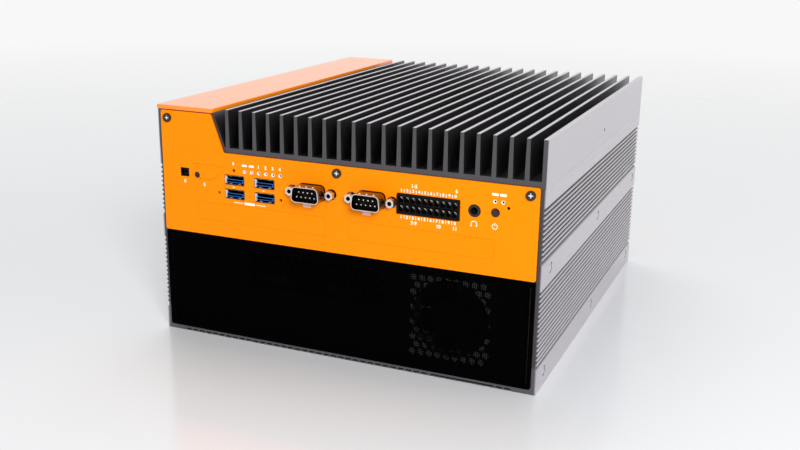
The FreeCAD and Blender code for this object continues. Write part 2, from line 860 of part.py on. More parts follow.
def dust_filter():
    """Framed filter over the whole front of the chassis."""
    filter_plate = Piece("dust_filter")
    edge = "(case_width / 2 - strip_wide)"
    face = f"{FRONT} - filter_thick"
    filter_plate.grow("front", face, FRONT, [rect(f"-{edge}", "filter_low", edge, "filter_top")])
    pitch_x = "((case_width - 2 * strip_wide - 2 * filter_border + filter_bar) / filter_columns)"
    pitch_z = "((filter_top - filter_low - 2 * filter_border + filter_bar) / filter_rows)"
    left = f"-{edge} + filter_border"
    low = "filter_low + filter_border"
    cell = filter_plate.carve("front", face, FRONT,
                              [rect(left, low, f"{left} + {pitch_x} - filter_bar",
                                    f"{low} + {pitch_z} - filter_bar")])
    filter_plate.repeat(cell, "X", pitch_x, "filter_columns",
                        second=("Z", pitch_z, "filter_rows"))


def cell_centres(left, low, right, high, blanks):
    """Middles of a honeycomb's cells inside a rectangle, leaving out the blank rectangles."""
    pitch = size("cell_pitch")
    rise = pitch * math.sqrt(3) / 2
    rows = int((high - low - pitch) // rise) + 1
    columns = int((right - left - pitch) // pitch)
    start_z = (low + high - (rows - 1) * rise) / 2
    start_x = (left + right - (columns - 0.5) * pitch) / 2
    centres = []
    for i in range(rows):
        for j in range(columns):
            x = start_x + (j + 0.5 * (i % 2)) * pitch
            z = start_z + i * rise
            if not any(x0 < x < x1 and z0 < z < z1 for x0, z0, x1, z1 in blanks):
                centres.append((x, z))
    return centres


def cell_wire(x, z, y):
    """One six-sided cell, its points up and down."""
    radius = (size("cell_pitch") - size("cell_rib")) / math.sqrt(3)
    corners = [FreeCAD.Vector(x + radius * math.sin(math.radians(60 * i)), y,
                              z + radius * math.cos(math.radians(60 * i))) for i in range(6)]
    return Part.makePolygon(corners + corners[:1])


def inner_front_plate():
    """Sheet behind the filter, with a honeycomb vent at the left and one before the fan."""
    half = size("case_width") / 2 - size("wall_thick")
    low = size("tray_floor")
    high = size("deck_low")
    y = size("grille_set") - size("case_depth") / 2
    vent_low = size("vent_low")
    vent_left = size("vent_left")
    patch_low = vent_low + size("patch_low")
    blanks = []
    for patch_left in (vent_left + size("patch_left"),
                       vent_left + size("patch_left") + size("patch_pitch")):
        blanks.append((patch_left, patch_low, patch_left + size("patch_wide"),
                       patch_low + size("patch_tall")))
    centres = cell_centres(vent_left, vent_low, size("vent_right"), size("vent_high"), blanks)
    wide = size("fan_vent_wide") / 2
    tall = size("fan_vent_tall") / 2
    fan_x = size("fan_x")
    fan_z = size("fan_high")
    centres += cell_centres(fan_x - wide, fan_z - tall, fan_x + wide, fan_z + tall, [])
    corners = [FreeCAD.Vector(x, y, z) for x, z in
               ((-half, low), (half, low), (half, high), (-half, high))]
    wires = [Part.makePolygon(corners + corners[:1])]
    wires += [cell_wire(x, z, y) for x, z in centres]
    face = Part.makeFace(wires, "Part::FaceMakerBullseye")
    plate = doc.addObject("Part::Feature", "inner_front_plate")
    plate.Label = "inner_front_plate"
    plate.Shape = face.extrude(FreeCAD.Vector(0, size("sheet_thick"), 0))
    plate.Placement = FreeCAD.Placement()
    Piece.made.append(plate)


def deck():
    """Sheet between the upper unit and the chassis, with a slot for the riser."""
    plate = Piece("deck")
    plate.grow("plan", "deck_low", DECK_TOP, [rect(f"-{SKIRT}", FRONT, SKIRT, BACK)])
    plate.carve("plan", "deck_low", DECK_TOP,
                [centred("riser_x", "riser_y", "riser_opening", "riser_long + 2 * riser_clear")])


FAN_AT = ("fan_x", "-case_depth / 2 + grille_set + sheet_thick", "fan_high")


def fan_frame():
    """Square fan housing with a round duct and a hub plate held by four struts."""
    frame = Piece("fan_frame", FAN_AT)
    frame.grow("front", "0", "fan_deep", [centred("0", "0", "fan_side", "fan_side")])
    frame.carve("front", "0", "fan_deep", holes([("0", "0", "fan_bore")], ROUND))
    hub_plate = "fan_deep - fan_plate"
    frame.grow("front", hub_plate, "fan_deep", pegs([("0", "0", "fan_hub")], ROUND))
    strut = frame.grow("front", hub_plate, "fan_deep",
                       [rect("0", "-fan_strut / 2", "fan_bore + fan_strut_root", "fan_strut / 2")])
    frame.around(strut, "Y", "fan_strut_count")
    frame.carve("front", hub_plate, "fan_deep",
                rounds=[("0", "0", "fan_shaft + fan_shaft_gap")])


def fan_rotor():
    """Hub with leaning blades and a shaft that turns in the hub plate."""
    rotor = Piece("fan_rotor", FAN_AT)
    hub_back = "fan_deep - fan_plate - rotor_gap"
    rotor.grow("front", "rotor_front", hub_back,
               pegs([("0", "0", "fan_hub - rotor_shrink")], ROUND))
    blade = rotor.grow("side", "fan_hub - blade_root", "blade_tip", [(
        ("blade_front", "-blade_half"), ("blade_front + blade_skin", "-blade_half - blade_lip"),
        ("fan_deep - blade_back", "blade_half"),
        ("fan_deep - blade_back - blade_skin", "blade_half + blade_lip"))])
    rotor.around(blade, "Y", "blade_count")
    rotor.grow("front", hub_back, "fan_deep", rounds=[("0", "0", "fan_shaft")])


def card_levels():
    """Heights of the expansion cards."""
    return [f"card_first + {i} * card_pitch" for i in range(int(size("card_count")))]


def strip_screw_rounds(radius):
    return [("strip_screw_x", level, radius) for level in card_levels()]


def rear_lower_plate():
    """Rear wall of the chassis, with two card windows and a row of vent slots."""
    plate = Piece("rear_lower_plate")
    near = f"{BACK} - sheet_thick"
    plate.grow("front", near, BACK, [rect(f"-{INNER}", "tray_floor", INNER, "deck_low")])
    plate.carve("front", near, BACK,
                [rect("window_left", f"{level} - window_drop", "window_right",
                      f"{level} + window_rise") for level in card_levels()])
    plate.carve("front", near, BACK, holes(strip_screw_rounds("tapped_radius"), COVERED))
    slot = plate.carve("front", near, BACK,
                       [rect("rear_vent_left", "rear_vent_low",
                             "rear_vent_left + rear_vent_wide", "rear_vent_high")])
    plate.repeat(slot, "X", "rear_vent_pitch", "rear_vent_count")


STRIP_FACE = f"({BACK} + strip_thick)"


def slot_covers():
    """Two blanking strips over the card windows."""
    strips = Piece("slot_covers")
    strips.grow("front", BACK, STRIP_FACE,
                [rect("strip_left", f"{level} - window_drop - strip_lap", "strip_right",
                      f"{level} + window_rise + strip_lap") for level in card_levels()])
    strips.carve("front", BACK, STRIP_FACE, holes(strip_screw_rounds("clear_radius"), COVERED))


# Board and what stands on it

def mainboard():
    board = Piece("mainboard")
    board.grow("plan", "board_low", BOARD_TOP,
               [rect("-board_half", "-board_reach", "board_half", "board_reach")])


def post_places():
    return [(f"{x} * post_x", f"{y} * post_y") for x in (-1, 1) for y in (-1, 0, 1)]


def board_posts():
    """Six hexagonal posts that carry the board on the deck."""
    posts = Piece("board_posts")
    posts.grow("plan", DECK_TOP, "board_low",
               pegs([(x, y, "post_radius") for x, y in post_places()], HEX))


def processor():
    chip = Piece("processor")
    chip.grow("plan", BOARD_TOP, f"{BOARD_TOP} + chip_high / 2",
              [centred("chip_x", "chip_y", "chip_side", "chip_side")])
    chip.grow("plan", f"{BOARD_TOP} + chip_high / 2", f"{BOARD_TOP} + chip_high",
              [centred("chip_x", "chip_y", "chip_side - 2 * chip_lid_set",
                       "chip_side - 2 * chip_lid_set")])


def heat_spreader():
    """Metal block that carries heat from the processor up into the heatsink."""
    block = Piece("heat_spreader")
    block.grow("plan", f"{BOARD_TOP} + chip_high", "base_low",
               [centred("chip_x", "chip_y", "spreader_side", "spreader_side")])


def memory_fronts():
    """Front edges of the memory cards, each against the back of its socket."""
    return [f"(memory_front + {i} * memory_spacing)" for i in range(int(size("memory_count")))]


def memory_sockets():
    sockets = Piece("memory_sockets")
    sockets.grow("plan", BOARD_TOP, f"{BOARD_TOP} + memory_socket_high",
                 [rect("memory_left", f"{y} - memory_socket_deep", "memory_left + memory_wide", y)
                  for y in memory_fronts()])


def memory_modules():
    """Two memory cards lying over the board."""
    cards = Piece("memory_modules")
    low = f"{BOARD_TOP} + module_lift"
    cards.grow("plan", low, f"{low} + module_thick",
               [rect("memory_left + module_end", y, "memory_left + memory_wide - module_end",
                     f"{y} + module_deep") for y in memory_fronts()])


def storage_socket():
    """Socket of the storage card, and the post under the card's other end."""
    socket = Piece("storage_socket")
    socket.grow("plan", BOARD_TOP, f"{BOARD_TOP} + storage_socket_high",
                [rect("storage_x - storage_socket_wide / 2", "storage_back",
                      "storage_x + storage_socket_wide / 2",
                      "storage_back + storage_socket_deep")])
    socket.grow("plan", BOARD_TOP, f"{BOARD_TOP} + module_lift",
                pegs([("storage_x", "storage_front + storage_post", "storage_post")], HEX))


def storage_card():
    card = Piece("storage_card")
    low = f"{BOARD_TOP} + module_lift"
    card.grow("plan", low, f"{low} + storage_thick",
              [rect("storage_x - storage_wide / 2", "storage_front",
                    "storage_x + storage_wide / 2", "storage_back")])


def coin_cell():
    cell = Piece("coin_cell")
    cell.grow("plan", BOARD_TOP, f"{BOARD_TOP} + cell_high",
              pegs([("cell_x", "cell_y", "cell_radius")], ROUND))


def riser_card():
    """Card that hangs from the board through the deck."""
    card = Piece("riser_card")
    card.grow("plan", "riser_low", "board_low",
              [centred("riser_x", "riser_y", "board_thick", "riser_long")])


def riser_slots():
    """Two card sockets on the riser's left face."""
    slots = Piece("riser_slots")
    right = "riser_x - board_thick / 2"
    left = f"{right} - riser_slot_deep"
    for level in card_levels():
        slots.grow("side", left, right,
                   [centred("riser_y", level, "riser_long - 2 * riser_slot_end",
                            "riser_slot_tall")])
        slots.carve("side", left, f"{left} + riser_mouth_deep",
                    [centred("riser_y", level, "riser_long - 2 * riser_mouth_end",
                             "riser_mouth_tall")])


# Sockets of the front and rear

def usb_stack(label, x, end):
    """Two data sockets, one over the other, in one metal shell."""
    stack = Piece(label)
    wide = "usb_wide + 2 * usb_skin"
    near, far = reach(end, "case_depth / 2 - usb_block", PANEL_BACK)
    stack.grow("front", near, far, [rect(f"{x} - ({wide}) / 2", BOARD_TOP,
                                         f"{x} + ({wide}) / 2", USB_TOP)])
    near, far = reach(end, PANEL_BACK, f"{PANEL_FACE} + usb_proud")
    levels = ("usb_low", "usb_high")
    stack.grow("front", near, far,
               [centred(x, level, wide, "usb_tall + 2 * usb_skin") for level in levels])
    near, far = reach(end, f"{PANEL_FACE} + usb_proud - usb_deep", f"{PANEL_FACE} + usb_proud")
    stack.carve("front", near, far,
                [centred(x, level, "usb_wide", "usb_tall") for level in levels])


def usb_tongues():
    """Plastic tongues inside the data sockets."""
    tongues = Piece("usb_tongues")
    inner = f"{PANEL_FACE} + usb_proud - usb_deep"
    places = (("front", "-usb_left_x"), ("front", "-usb_right_x"), ("back", "usb_rear_x"))
    for end, x in places:
        near, far = reach(end, inner, f"{PANEL_FACE} - tongue_set")
        tongues.grow("front", near, far,
                     [centred(x, f"{level} - tongue_drop", "tongue_wide", "tongue_thick")
                      for level in ("usb_low", "usb_high")])


def serial_shell(label, x):
    """Metal shell of a serial socket: a flange behind the panel and a D-shaped tube."""
    shell = Piece(label)
    front = f"-{PANEL_FACE} - serial_proud"
    flange_back = f"{FRONT} + flange_skin"
    shell.grow("front", front, FRONT, [plug_shape(x, "serial_skin")])
    shell.grow("front", FRONT, flange_back,
               [centred(x, "serial_high", "flange_wide", "flange_tall")])
    shell.carve("front", front, flange_back, [plug_shape(x, "0")])
    shell.carve("front", FRONT, flange_back, holes(jack_pair(x, "clear_radius"), COVERED))


CORE_FACE = f"(-{PANEL_FACE} - core_proud)"


def serial_insert(label, x):
    """Plastic core of a serial socket, with a foot that stands on the board."""
    core = Piece(label)
    flange_back = f"{FRONT} + flange_skin"
    core.grow("front", CORE_FACE, flange_back, [plug_shape(x, "-fit_gap / 2")])
    core.grow("front", flange_back, f"{FRONT} + serial_block",
              [rect(f"{x} - flange_wide / 2", BOARD_TOP, f"{x} + flange_wide / 2",
                    "serial_high + flange_tall / 2")])
    core.carve("front", flange_back, f"{FRONT} + serial_block",
               holes(jack_pair(x, "tapped_radius"), COVERED))


def serial_pins():
    """Nine contact pins in each serial socket, four over five."""
    pins = Piece("serial_pins")
    for x in SERIAL_PLACES.values():
        for count, level in ((4, "serial_high + pin_row"), (5, "serial_high - pin_row")):
            first = (f"{x} - {count - 1} * pin_pitch / 2", level, "pin_radius")
            pin = pins.grow("front", f"{CORE_FACE} - pin_long", CORE_FACE,
                            pegs([first], COVERED))
            pins.repeat(pin, "X", "pin_pitch", str(count))


def hexagon(x, z, flat):
    """Six-sided outline with two upright flats."""
    radius = f"{flat} / (2 * cos(30))"
    return [(f"{x} + {radius} * {round(math.sin(math.radians(60 * i)), 6)}",
             f"{z} + {radius} * {round(math.cos(math.radians(60 * i)), 6)}") for i in range(6)]


def jackscrews():
    """Four hexagonal posts beside the serial sockets, tapped to hold a plug."""
    posts = Piece("jackscrews")
    face = f"-{PANEL_FACE}"
    posts.grow("front", f"{face} - jack_long", face,
               [hexagon(x, z, "jack_flat") for x, z in jack_places()])
    posts.grow("front", face, f"{face} + jack_long",
               pegs([(x, z, "screw_radius") for x, z in jack_places()], COVERED))
    posts.carve("front", f"{face} - jack_long", f"{face} - jack_long + jack_bore_deep",
                rounds=[(x, z, "jack_bore") for x, z in jack_places()])


def terminal_corner():
    """Middle of the first wire socket, at the lower left."""
    return ("terminal_x - (terminal_columns - 1) * terminal_pitch / 2",
            "terminal_high - terminal_row / 2")


def terminal_block():
    """Wire terminal with two rows of square sockets."""
    block = Piece("terminal_block")
    face = f"-{PANEL_FACE} - terminal_proud"
    block.grow("front", face, f"{FRONT} + terminal_back",
               [centred("terminal_x", "terminal_high", "terminal_wide", "terminal_tall")])
    block.grow("front", f"{FRONT} + terminal_foot_set", f"{FRONT} + terminal_back",
               [rect("terminal_x - terminal_wide / 2", BOARD_TOP,
                     "terminal_x + terminal_wide / 2", "terminal_high")])
    x, z = terminal_corner()
    hole = block.carve("front", face, f"{face} + terminal_hole_deep",
                       [centred(x, z, "terminal_hole_wide", "terminal_hole_tall")])
    block.repeat(hole, "X", "terminal_pitch", "terminal_columns",
                 second=("Z", "terminal_row", "2"))


def terminal_contacts():
    contacts = Piece("terminal_contacts")
    floor = f"-{PANEL_FACE} - terminal_proud + terminal_hole_deep"
    x, z = terminal_corner()
    pin = contacts.grow("front", f"{floor} - contact_long", floor,
                        [centred(x, z, "contact_wide", "contact_wide")])
    contacts.repeat(pin, "X", "terminal_pitch", "terminal_columns",
                    second=("Z", "terminal_row", "2"))


def sound_socket():
    """Round plug socket for headphones."""
    socket = Piece("sound_socket")
    face = f"-{PANEL_FACE} - sound_proud"
    socket.grow("front", face, FRONT, pegs([("sound_x", "sound_high", "sound_radius")], ROUND))
    socket.grow("front", FRONT, f"{FRONT} + sound_deep + sound_wall",
                [rect("sound_x - sound_block / 2", BOARD_TOP, "sound_x + sound_block / 2",
                      "sound_high + sound_block / 2")])
    socket.carve("front", face, f"{face} + sound_deep",
                 rounds=[("sound_x", "sound_high", "sound_bore")])


SWITCH_FACE = f"{FRONT} + switch_set"


def power_switch():
    """Body of the power switch, bored for the button's stem."""
    switch = Piece("power_switch")
    half = "power_switch_side / 2"
    switch.grow("front", SWITCH_FACE, f"{SWITCH_FACE} + power_switch_deep",
                [rect(f"power_x - {half}", BOARD_TOP, f"power_x + {half}",
                      f"power_high + {half}")])
    switch.carve("front", SWITCH_FACE, f"{SWITCH_FACE} + power_bore_deep",
                 holes([("power_x", "power_high", "power_stem + stem_gap")], COVERED))


def power_button():
    """Round button that is pushed in through the panel."""
    button = Piece("power_button")
    face = f"-{PANEL_FACE} - power_proud"
    collar = f"{SWITCH_FACE} - collar_gap"
    button.grow("front", face, collar, pegs([("power_x", "power_high", "power_radius")], ROUND))
    button.grow("front", collar, f"{SWITCH_FACE} + power_stem_bite",
                pegs([("power_x", "power_high", "power_stem")], COVERED))


def reset_switch():
    """Body of the reset switch, seated on top of the left data sockets."""
    switch = Piece("reset_switch")
    half = "reset_switch_side / 2"
    switch.grow("front", SWITCH_FACE, f"{SWITCH_FACE} + reset_switch_deep",
                [rect(f"reset_x - {half}", USB_TOP, f"reset_x + {half}",
                      f"reset_high + {half}")])
    switch.carve("front", SWITCH_FACE, f"{SWITCH_FACE} + reset_bore_deep",
                 holes([("reset_x", "reset_high", "reset_radius + stem_gap")], HEX))


def reset_plunger():
    """Small plunger behind a pinhole of the panel."""
    plunger = Piece("reset_plunger")
    plunger.grow("front", f"{FRONT} + reset_set", f"{SWITCH_FACE} + reset_bite",
                 pegs([("reset_x", "reset_high", "reset_radius")], HEX))


def light_bar(label, start, pitch, count):
    """Clear light pipes on one carrier bar behind the panel."""
    bar = Piece(label)
    last = f"{start} + ({count} - 1) * {pitch}"
    bar.grow("front", FRONT, f"{FRONT} + bar_thick",
             [rect(f"{start} - bar_end", "light_high - bar_half", f"{last} + bar_end",
                   "light_high + bar_half")])
    pipe = bar.grow("front", f"-{PANEL_FACE} - pipe_proud", f"{FRONT} + pipe_root",
                    pegs([(start, "light_high", "light_radius")], HEX))
    bar.repeat(pipe, "X", pitch, count)


def remote_socket():
    """Square socket for a remote switch."""
    socket = Piece("remote_socket")
    face = f"-{PANEL_FACE}"
    socket.grow("front", face, FRONT,
                [centred("remote_x", "remote_high", "remote_wide", "remote_tall")])
    socket.grow("front", FRONT, f"{FRONT} + remote_body_deep",
                [rect("remote_x - remote_body_wide / 2", BOARD_TOP,
                      "remote_x + remote_body_wide / 2", "remote_high + remote_body_rise")])
    socket.carve("front", face, f"{face} + remote_deep",
                 [centred("remote_x", "remote_high", "remote_wide - 2 * remote_skin",
                          "remote_tall - 2 * remote_skin")])


def remote_pins():
    pins = Piece("remote_pins")
    floor = f"-{PANEL_FACE} + remote_deep"
    pins.grow("front", f"{floor} - remote_pin_long", floor,
              [centred(f"remote_x + {i} * remote_pitch / 2", f"remote_high + {j} * remote_pitch / 2",
                       "remote_pin_side", "remote_pin_side") for i in (-1, 1) for j in (-1, 1)])


CARD_SINK = f"(-{PANEL_FACE} + card_sink_deep)"
CARD_SCREW = ("-card_screw_x", "card_screw_high")


def card_cover():
    """Small cover in the front panel, with one cut-off corner and a sunk screw."""
    cover = Piece("card_cover")
    cover.grow("front", f"-{PANEL_FACE}", FRONT, [card_outline("card_gap")])
    cover.carve("front", f"-{PANEL_FACE}", FRONT,
                holes([(*CARD_SCREW, "card_screw_hole")], COVERED))
    cover.carve("front", f"-{PANEL_FACE}", CARD_SINK,
                holes([(*CARD_SCREW, "card_screw_sink")], HEAD))


def card_socket():
    """Block behind the card cover that holds small cards and takes the cover's screw."""
    socket = Piece("card_socket")
    socket.grow("front", FRONT, f"{FRONT} + card_socket_deep",
                [rect("-card_left - card_socket_left", BOARD_TOP,
                      "-card_right + card_socket_right", "card_high + card_socket_rise")])
    socket.carve("front", FRONT, f"{FRONT} + card_bore_deep",
                 holes([(*CARD_SCREW, "card_bore_radius")], COVERED))


def card_cover_screw():
    screw = Piece("card_cover_screw")
    face = f"-{PANEL_FACE} + card_screw_set"
    screw.grow("front", face, CARD_SINK, pegs([(*CARD_SCREW, "card_screw_head")], HEAD))
    screw.grow("front", CARD_SINK, f"{FRONT} + card_screw_bite",
               pegs([(*CARD_SCREW, "card_screw_thread")], COVERED))
    screw.carve("front", face, f"{face} + card_recess_deep",
                [centred(*CARD_SCREW, "card_recess_wide", "card_recess_tall")])


def lan_ports(label, x):
    """Two network sockets side by side in one metal shell."""
    shell = Piece(label)
    face = f"{PANEL_FACE} + rear_proud"
    shell.grow("front", f"{BACK} - lan_block", face,
               [rect(f"{x} - lan_wide / 2", BOARD_TOP, f"{x} + lan_wide / 2",
                     f"{BOARD_TOP} + lan_tall")])
    level = f"{BOARD_TOP} + lan_tall / 2 + lan_lift"
    mouth_low = f"{level} - lan_mouth_tall / 2"
    for side in (-1, 1):
        middle = f"{x} + {side} * lan_pitch / 2"
        shell.carve("front", f"{face} - lan_deep", face,
                    [centred(middle, level, "lan_mouth", "lan_mouth_tall")])
        shell.carve("front", f"{face} - lan_deep", face,
                    [rect(f"{middle} - lan_key_wide / 2", f"{mouth_low} - lan_key_deep",
                          f"{middle} + lan_key_wide / 2", mouth_low)])


def video_ports():
    """Two screen sockets, each with a tongue in its mouth."""
    ports = Piece("video_ports")
    face = f"{PANEL_FACE} + rear_proud"
    for i in (0, 1):
        x = f"video_x + {i} * video_pitch"
        ports.grow("front", BACK, face, [centred(x, "video_high", "video_wide", "video_tall")])
        ports.grow("front", f"{BACK} - video_block", BACK,
                   [rect(f"{x} - video_wide / 2", BOARD_TOP, f"{x} + video_wide / 2",
                         "video_high + video_tall / 2")])
        ports.carve("front", f"{face} - video_deep", face,
                    [centred(x, "video_high", "video_wide - 2 * video_skin",
                             "video_tall - 2 * video_skin"),
                     centred(x, "video_high", "video_tongue_wide", "video_tongue_thick")])


def power_inlet():
    """Three-way screw terminal for the supply."""
    inlet = Piece("power_inlet")
    face = f"{PANEL_FACE} + inlet_proud"
    foot = f"{BACK} - inlet_foot_set"
    inlet.grow("front", foot, face,
               [centred("inlet_x", "inlet_high", "inlet_wide", "inlet_tall")])
    inlet.grow("front", f"{BACK} - inlet_block", foot,
               [rect("inlet_x - inlet_wide / 2", BOARD_TOP, "inlet_x + inlet_wide / 2",
                     "inlet_high + inlet_tall / 2")])
    first = "inlet_x - (inlet_count - 1) * inlet_pitch / 2"
    hole = inlet.carve("front", f"{face} - inlet_mouth_deep", face,
                       [centred(first, "inlet_high", "inlet_mouth_wide", "inlet_mouth_tall")])
    inlet.repeat(hole, "X", "inlet_pitch", "inlet_count")


# Fasteners

def panel_screws():
    """Pan-head screws of the front and rear panels."""
    screws = Piece("panel_screws")
    heads = pegs([(x, z, "head_radius") for x, z in panel_screw_places()], HEAD)
    shanks = pegs([(x, z, "screw_radius") for x, z in panel_screw_places()], COVERED)
    for end in ("front", "back"):
        near, far = reach(end, PANEL_FACE, f"{PANEL_FACE} + head_high")
        screws.grow("front", near, far, heads)
        near, far = reach(end, "case_depth / 2 - panel_screw_bite", PANEL_FACE)
        screws.grow("front", near, far, shanks)


def side_screws():
    """Twelve screws sunk in the side walls: through the flanges of the chassis and the tray."""
    screws = Piece("side_screws")
    for side in (-1, 1):
        for middle, level in (("middle_screw_y", "middle_screw_high"),
                              ("bottom_screw_y", "bottom_screw_high")):
            near, far = side_span(side, f"{HALF} - sink_deep", f"{HALF} - fit_gap")
            screws.grow("side", near, far,
                        pegs(side_screw_rounds(middle, level, "head_radius"), HEAD))
            near, far = side_span(side, f"{INNER} + fit_gap", f"{HALF} - sink_deep")
            screws.grow("side", near, far,
                        pegs(side_screw_rounds(middle, level, "screw_radius"), COVERED))


def cover_screws():
    screws = Piece("cover_screws")
    screws.grow("plan", COVER_SEAT, "fin_top", pegs(cover_screw_rounds("head_radius"), HEAD))
    screws.grow("plan", "shelf_low - cover_screw_bite", COVER_SEAT,
                pegs(cover_screw_rounds("screw_radius"), COVERED))


def slot_screws():
    """Screws of the blanking strips."""
    screws = Piece("slot_screws")
    screws.grow("front", STRIP_FACE, f"{STRIP_FACE} + strip_head_high",
                pegs(strip_screw_rounds("head_radius"), HEAD))
    screws.grow("front", f"{BACK} - strip_screw_bite", STRIP_FACE,
                pegs(strip_screw_rounds("screw_radius"), COVERED))


def pieces_to_build():
    """Every piece: its function, then what that function is given."""
    yield from ((heatsink,), (top_cover,), (front_panel,), (rear_panel,))
    yield from ((upper_wall, "upper_left_wall", -1), (upper_wall, "upper_right_wall", 1))
    yield from ((lower_wall, "lower_left_wall", -1), (lower_wall, "lower_right_wall", 1))
    yield from ((bottom_tray,), (dust_filter,), (inner_front_plate,), (deck,))
    yield from ((fan_frame,), (fan_rotor,), (rear_lower_plate,), (slot_covers,))
    yield from ((mainboard,), (board_posts,), (processor,), (heat_spreader,))
    yield from ((memory_sockets,), (memory_modules,), (storage_socket,), (storage_card,))
    yield from ((coin_cell,), (riser_card,), (riser_slots,))
    yield usb_stack, "usb_stack_left", "-usb_left_x", "front"
    yield usb_stack, "usb_stack_right", "-usb_right_x", "front"
    yield usb_stack, "usb_stack_rear", "usb_rear_x", "back"
    yield (usb_tongues,)
    for name, place in SERIAL_PLACES.items():
        yield serial_shell, f"serial_shell_{name}", place
        yield serial_insert, f"serial_insert_{name}", place
    yield from ((serial_pins,), (jackscrews,), (terminal_block,), (terminal_contacts,))
    yield from ((sound_socket,), (power_switch,), (power_button,))
    yield from ((reset_switch,), (reset_plunger,))
    yield light_bar, "port_lights", "light_start", "light_pitch", "light_count"
    yield light_bar, "status_lights", "status_x", "status_pitch", "status_count"
    yield from ((remote_socket,), (remote_pins,))
    yield from ((card_cover,), (card_socket,), (card_cover_screw,))
    yield lan_ports, "lan_ports_left", "lan_left_x"
    yield lan_ports, "lan_ports_right", "lan_right_x"
    yield from ((video_ports,), (power_inlet,))
    yield from ((panel_screws,), (side_screws,), (cover_screws,), (slot_screws,))


def check(made):
    """Stop if any object failed, any shape is empty or broken, or any cut took nothing away."""
    for thing in doc.Objects:
        bad = {"Invalid", "Error"} & set(thing.State)
        if bad:
            raise RuntimeError(f"{thing.Name}: {sorted(bad)}")
    for piece in made:
        if piece.Shape.isNull() or not piece.Shape.isValid():
            raise RuntimeError(f"{piece.Label}: its shape is not sound")
        for feature in getattr(piece, "Group", []):
            if feature.TypeId != "PartDesign::Pocket":
                continue
            before = feature.BaseFeature.Shape.Volume
            if feature.Shape.Volume > before - 1e-6:
                raise RuntimeError(f"{piece.Label}: {feature.Name} cuts nothing")


for make, *given in pieces_to_build():
    make(*given)
    doc.recompute()
check(Piece.made)
os.makedirs("parts", exist_ok=True)
for piece in Piece.made:
    piece.Shape.exportStep(f"parts/{piece.Label}.step")
print(len(Piece.made), "pieces written")
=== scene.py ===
import math

import bmesh
import bpy
from mathutils import Matrix, Quaternion, Vector


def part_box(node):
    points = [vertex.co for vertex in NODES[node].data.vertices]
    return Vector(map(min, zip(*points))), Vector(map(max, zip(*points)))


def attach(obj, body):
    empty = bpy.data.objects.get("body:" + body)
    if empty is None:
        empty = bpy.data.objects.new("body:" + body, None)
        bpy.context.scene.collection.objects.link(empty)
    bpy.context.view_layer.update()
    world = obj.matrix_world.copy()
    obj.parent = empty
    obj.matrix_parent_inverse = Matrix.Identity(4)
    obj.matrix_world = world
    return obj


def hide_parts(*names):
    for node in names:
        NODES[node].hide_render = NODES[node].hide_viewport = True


bl_info = {
    "name": "Industrial computer looks",
    "version": (1, 0, 0),
    "blender": (4, 5, 0),
    "location": "View3D > Sidebar > Computer",
    "description": "Dresses the solids of an industrial computer: panels, sockets, filter, screws and marks",
    "category": "Object",
}

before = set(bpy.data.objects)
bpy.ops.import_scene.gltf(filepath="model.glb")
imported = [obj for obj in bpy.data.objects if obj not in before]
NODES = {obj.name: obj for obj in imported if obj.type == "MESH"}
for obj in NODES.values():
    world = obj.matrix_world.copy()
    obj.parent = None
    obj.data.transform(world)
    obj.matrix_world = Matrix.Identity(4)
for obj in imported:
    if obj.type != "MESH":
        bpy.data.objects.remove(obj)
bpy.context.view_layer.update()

MM = 0.001


# Places, read from the solids

def low(node):
    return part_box(node)[0]


def high(node):
    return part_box(node)[1]


def middle(node):
    lowest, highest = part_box(node)
    return (lowest + highest) / 2


def in_mm(*values):
    """Millimetres, alone or in groups, as metres."""
    return tuple(in_mm(*value) if isinstance(value, tuple) else value * MM for value in values)


FACE = low("front_panel").y
PANEL_THICK = high("front_panel").y - FACE
PANEL_BACK = FACE + PANEL_THICK
REAR_FACE = high("rear_panel").y

# Places inside a solid, which its box doesn't give
SIDE_TOP = 117.0 * MM
NOTCH_TOP_X = -82.6 * MM
NOTCH_ROOT_X = -74.4 * MM
PANEL_CORNER = 1.2 * MM
# Painted shade on the side walls: nearer the middle than this span, in the rib grooves and on the cut ends,
# the metal is painted dark
RIB_GROOVE_SHADE_SPAN = in_mm(118.9, 120.0)
# Painted shade and painted highlights on the heatsink: the fins are darkest below these heights and behind
# these front ends, and the tips and the guard walls keep the bright metal
FIN_GAP_SHADE_HEIGHTS = in_mm(119.0, 140.0)
FIN_FRONT_SHADE = in_mm(-131.0, -126.0)
FIN_TIP_HIGHLIGHT = in_mm(142.2, 142.5)
OUTER_WALL_SHEEN = in_mm(119.4, 119.9)
DATA_LEVELS = in_mm(92.8, 101.3)
DATA_MOUTH = in_mm(12.5, 5.1)
DATA_DEEP = 11.0 * MM
SERIALS = ("serial_shell_left", "serial_shell_right")
SERIAL_HIGH = 100.0 * MM
SERIAL_HALVES = in_mm(8.5, 7.5, 4.15)
SERIAL_ROUND = 2.2 * MM
PIN_PITCH = 2.77 * MM
PIN_ROW = 1.42 * MM
JACK_HALF = 12.5 * MM
JACK_LONG = 4.2 * MM
THREAD_PITCH = 0.55 * MM
TERMINAL_X = middle("terminal_block").x
TERMINAL_MIDDLE = 99.9 * MM
TERMINAL_WIDE = 36.4 * MM
TERMINAL_TALL = 11.3 * MM
TERMINAL_PITCH = 3.5 * MM
TERMINAL_ROW = 5.0 * MM
TERMINAL_COLUMNS = 10
TERMINAL_FIRST_X = TERMINAL_X - (TERMINAL_COLUMNS - 1) * TERMINAL_PITCH / 2
LIGHT_HIGH = 107.2 * MM
LIGHT_FIRST = -60.1 * MM
LIGHT_PITCH = 4.7 * MM
LIGHT_COUNT = 6
GREY_LIGHTS = 2
STATUS_FIRST = 92.9 * MM
STATUS_PITCH = 4.4 * MM
PANEL_SCREWS = in_mm((-112.3, 135.0), (0.0, 112.8), (112.3, 112.8))
SIDE_SCREW_PITCH = 117.0 * MM
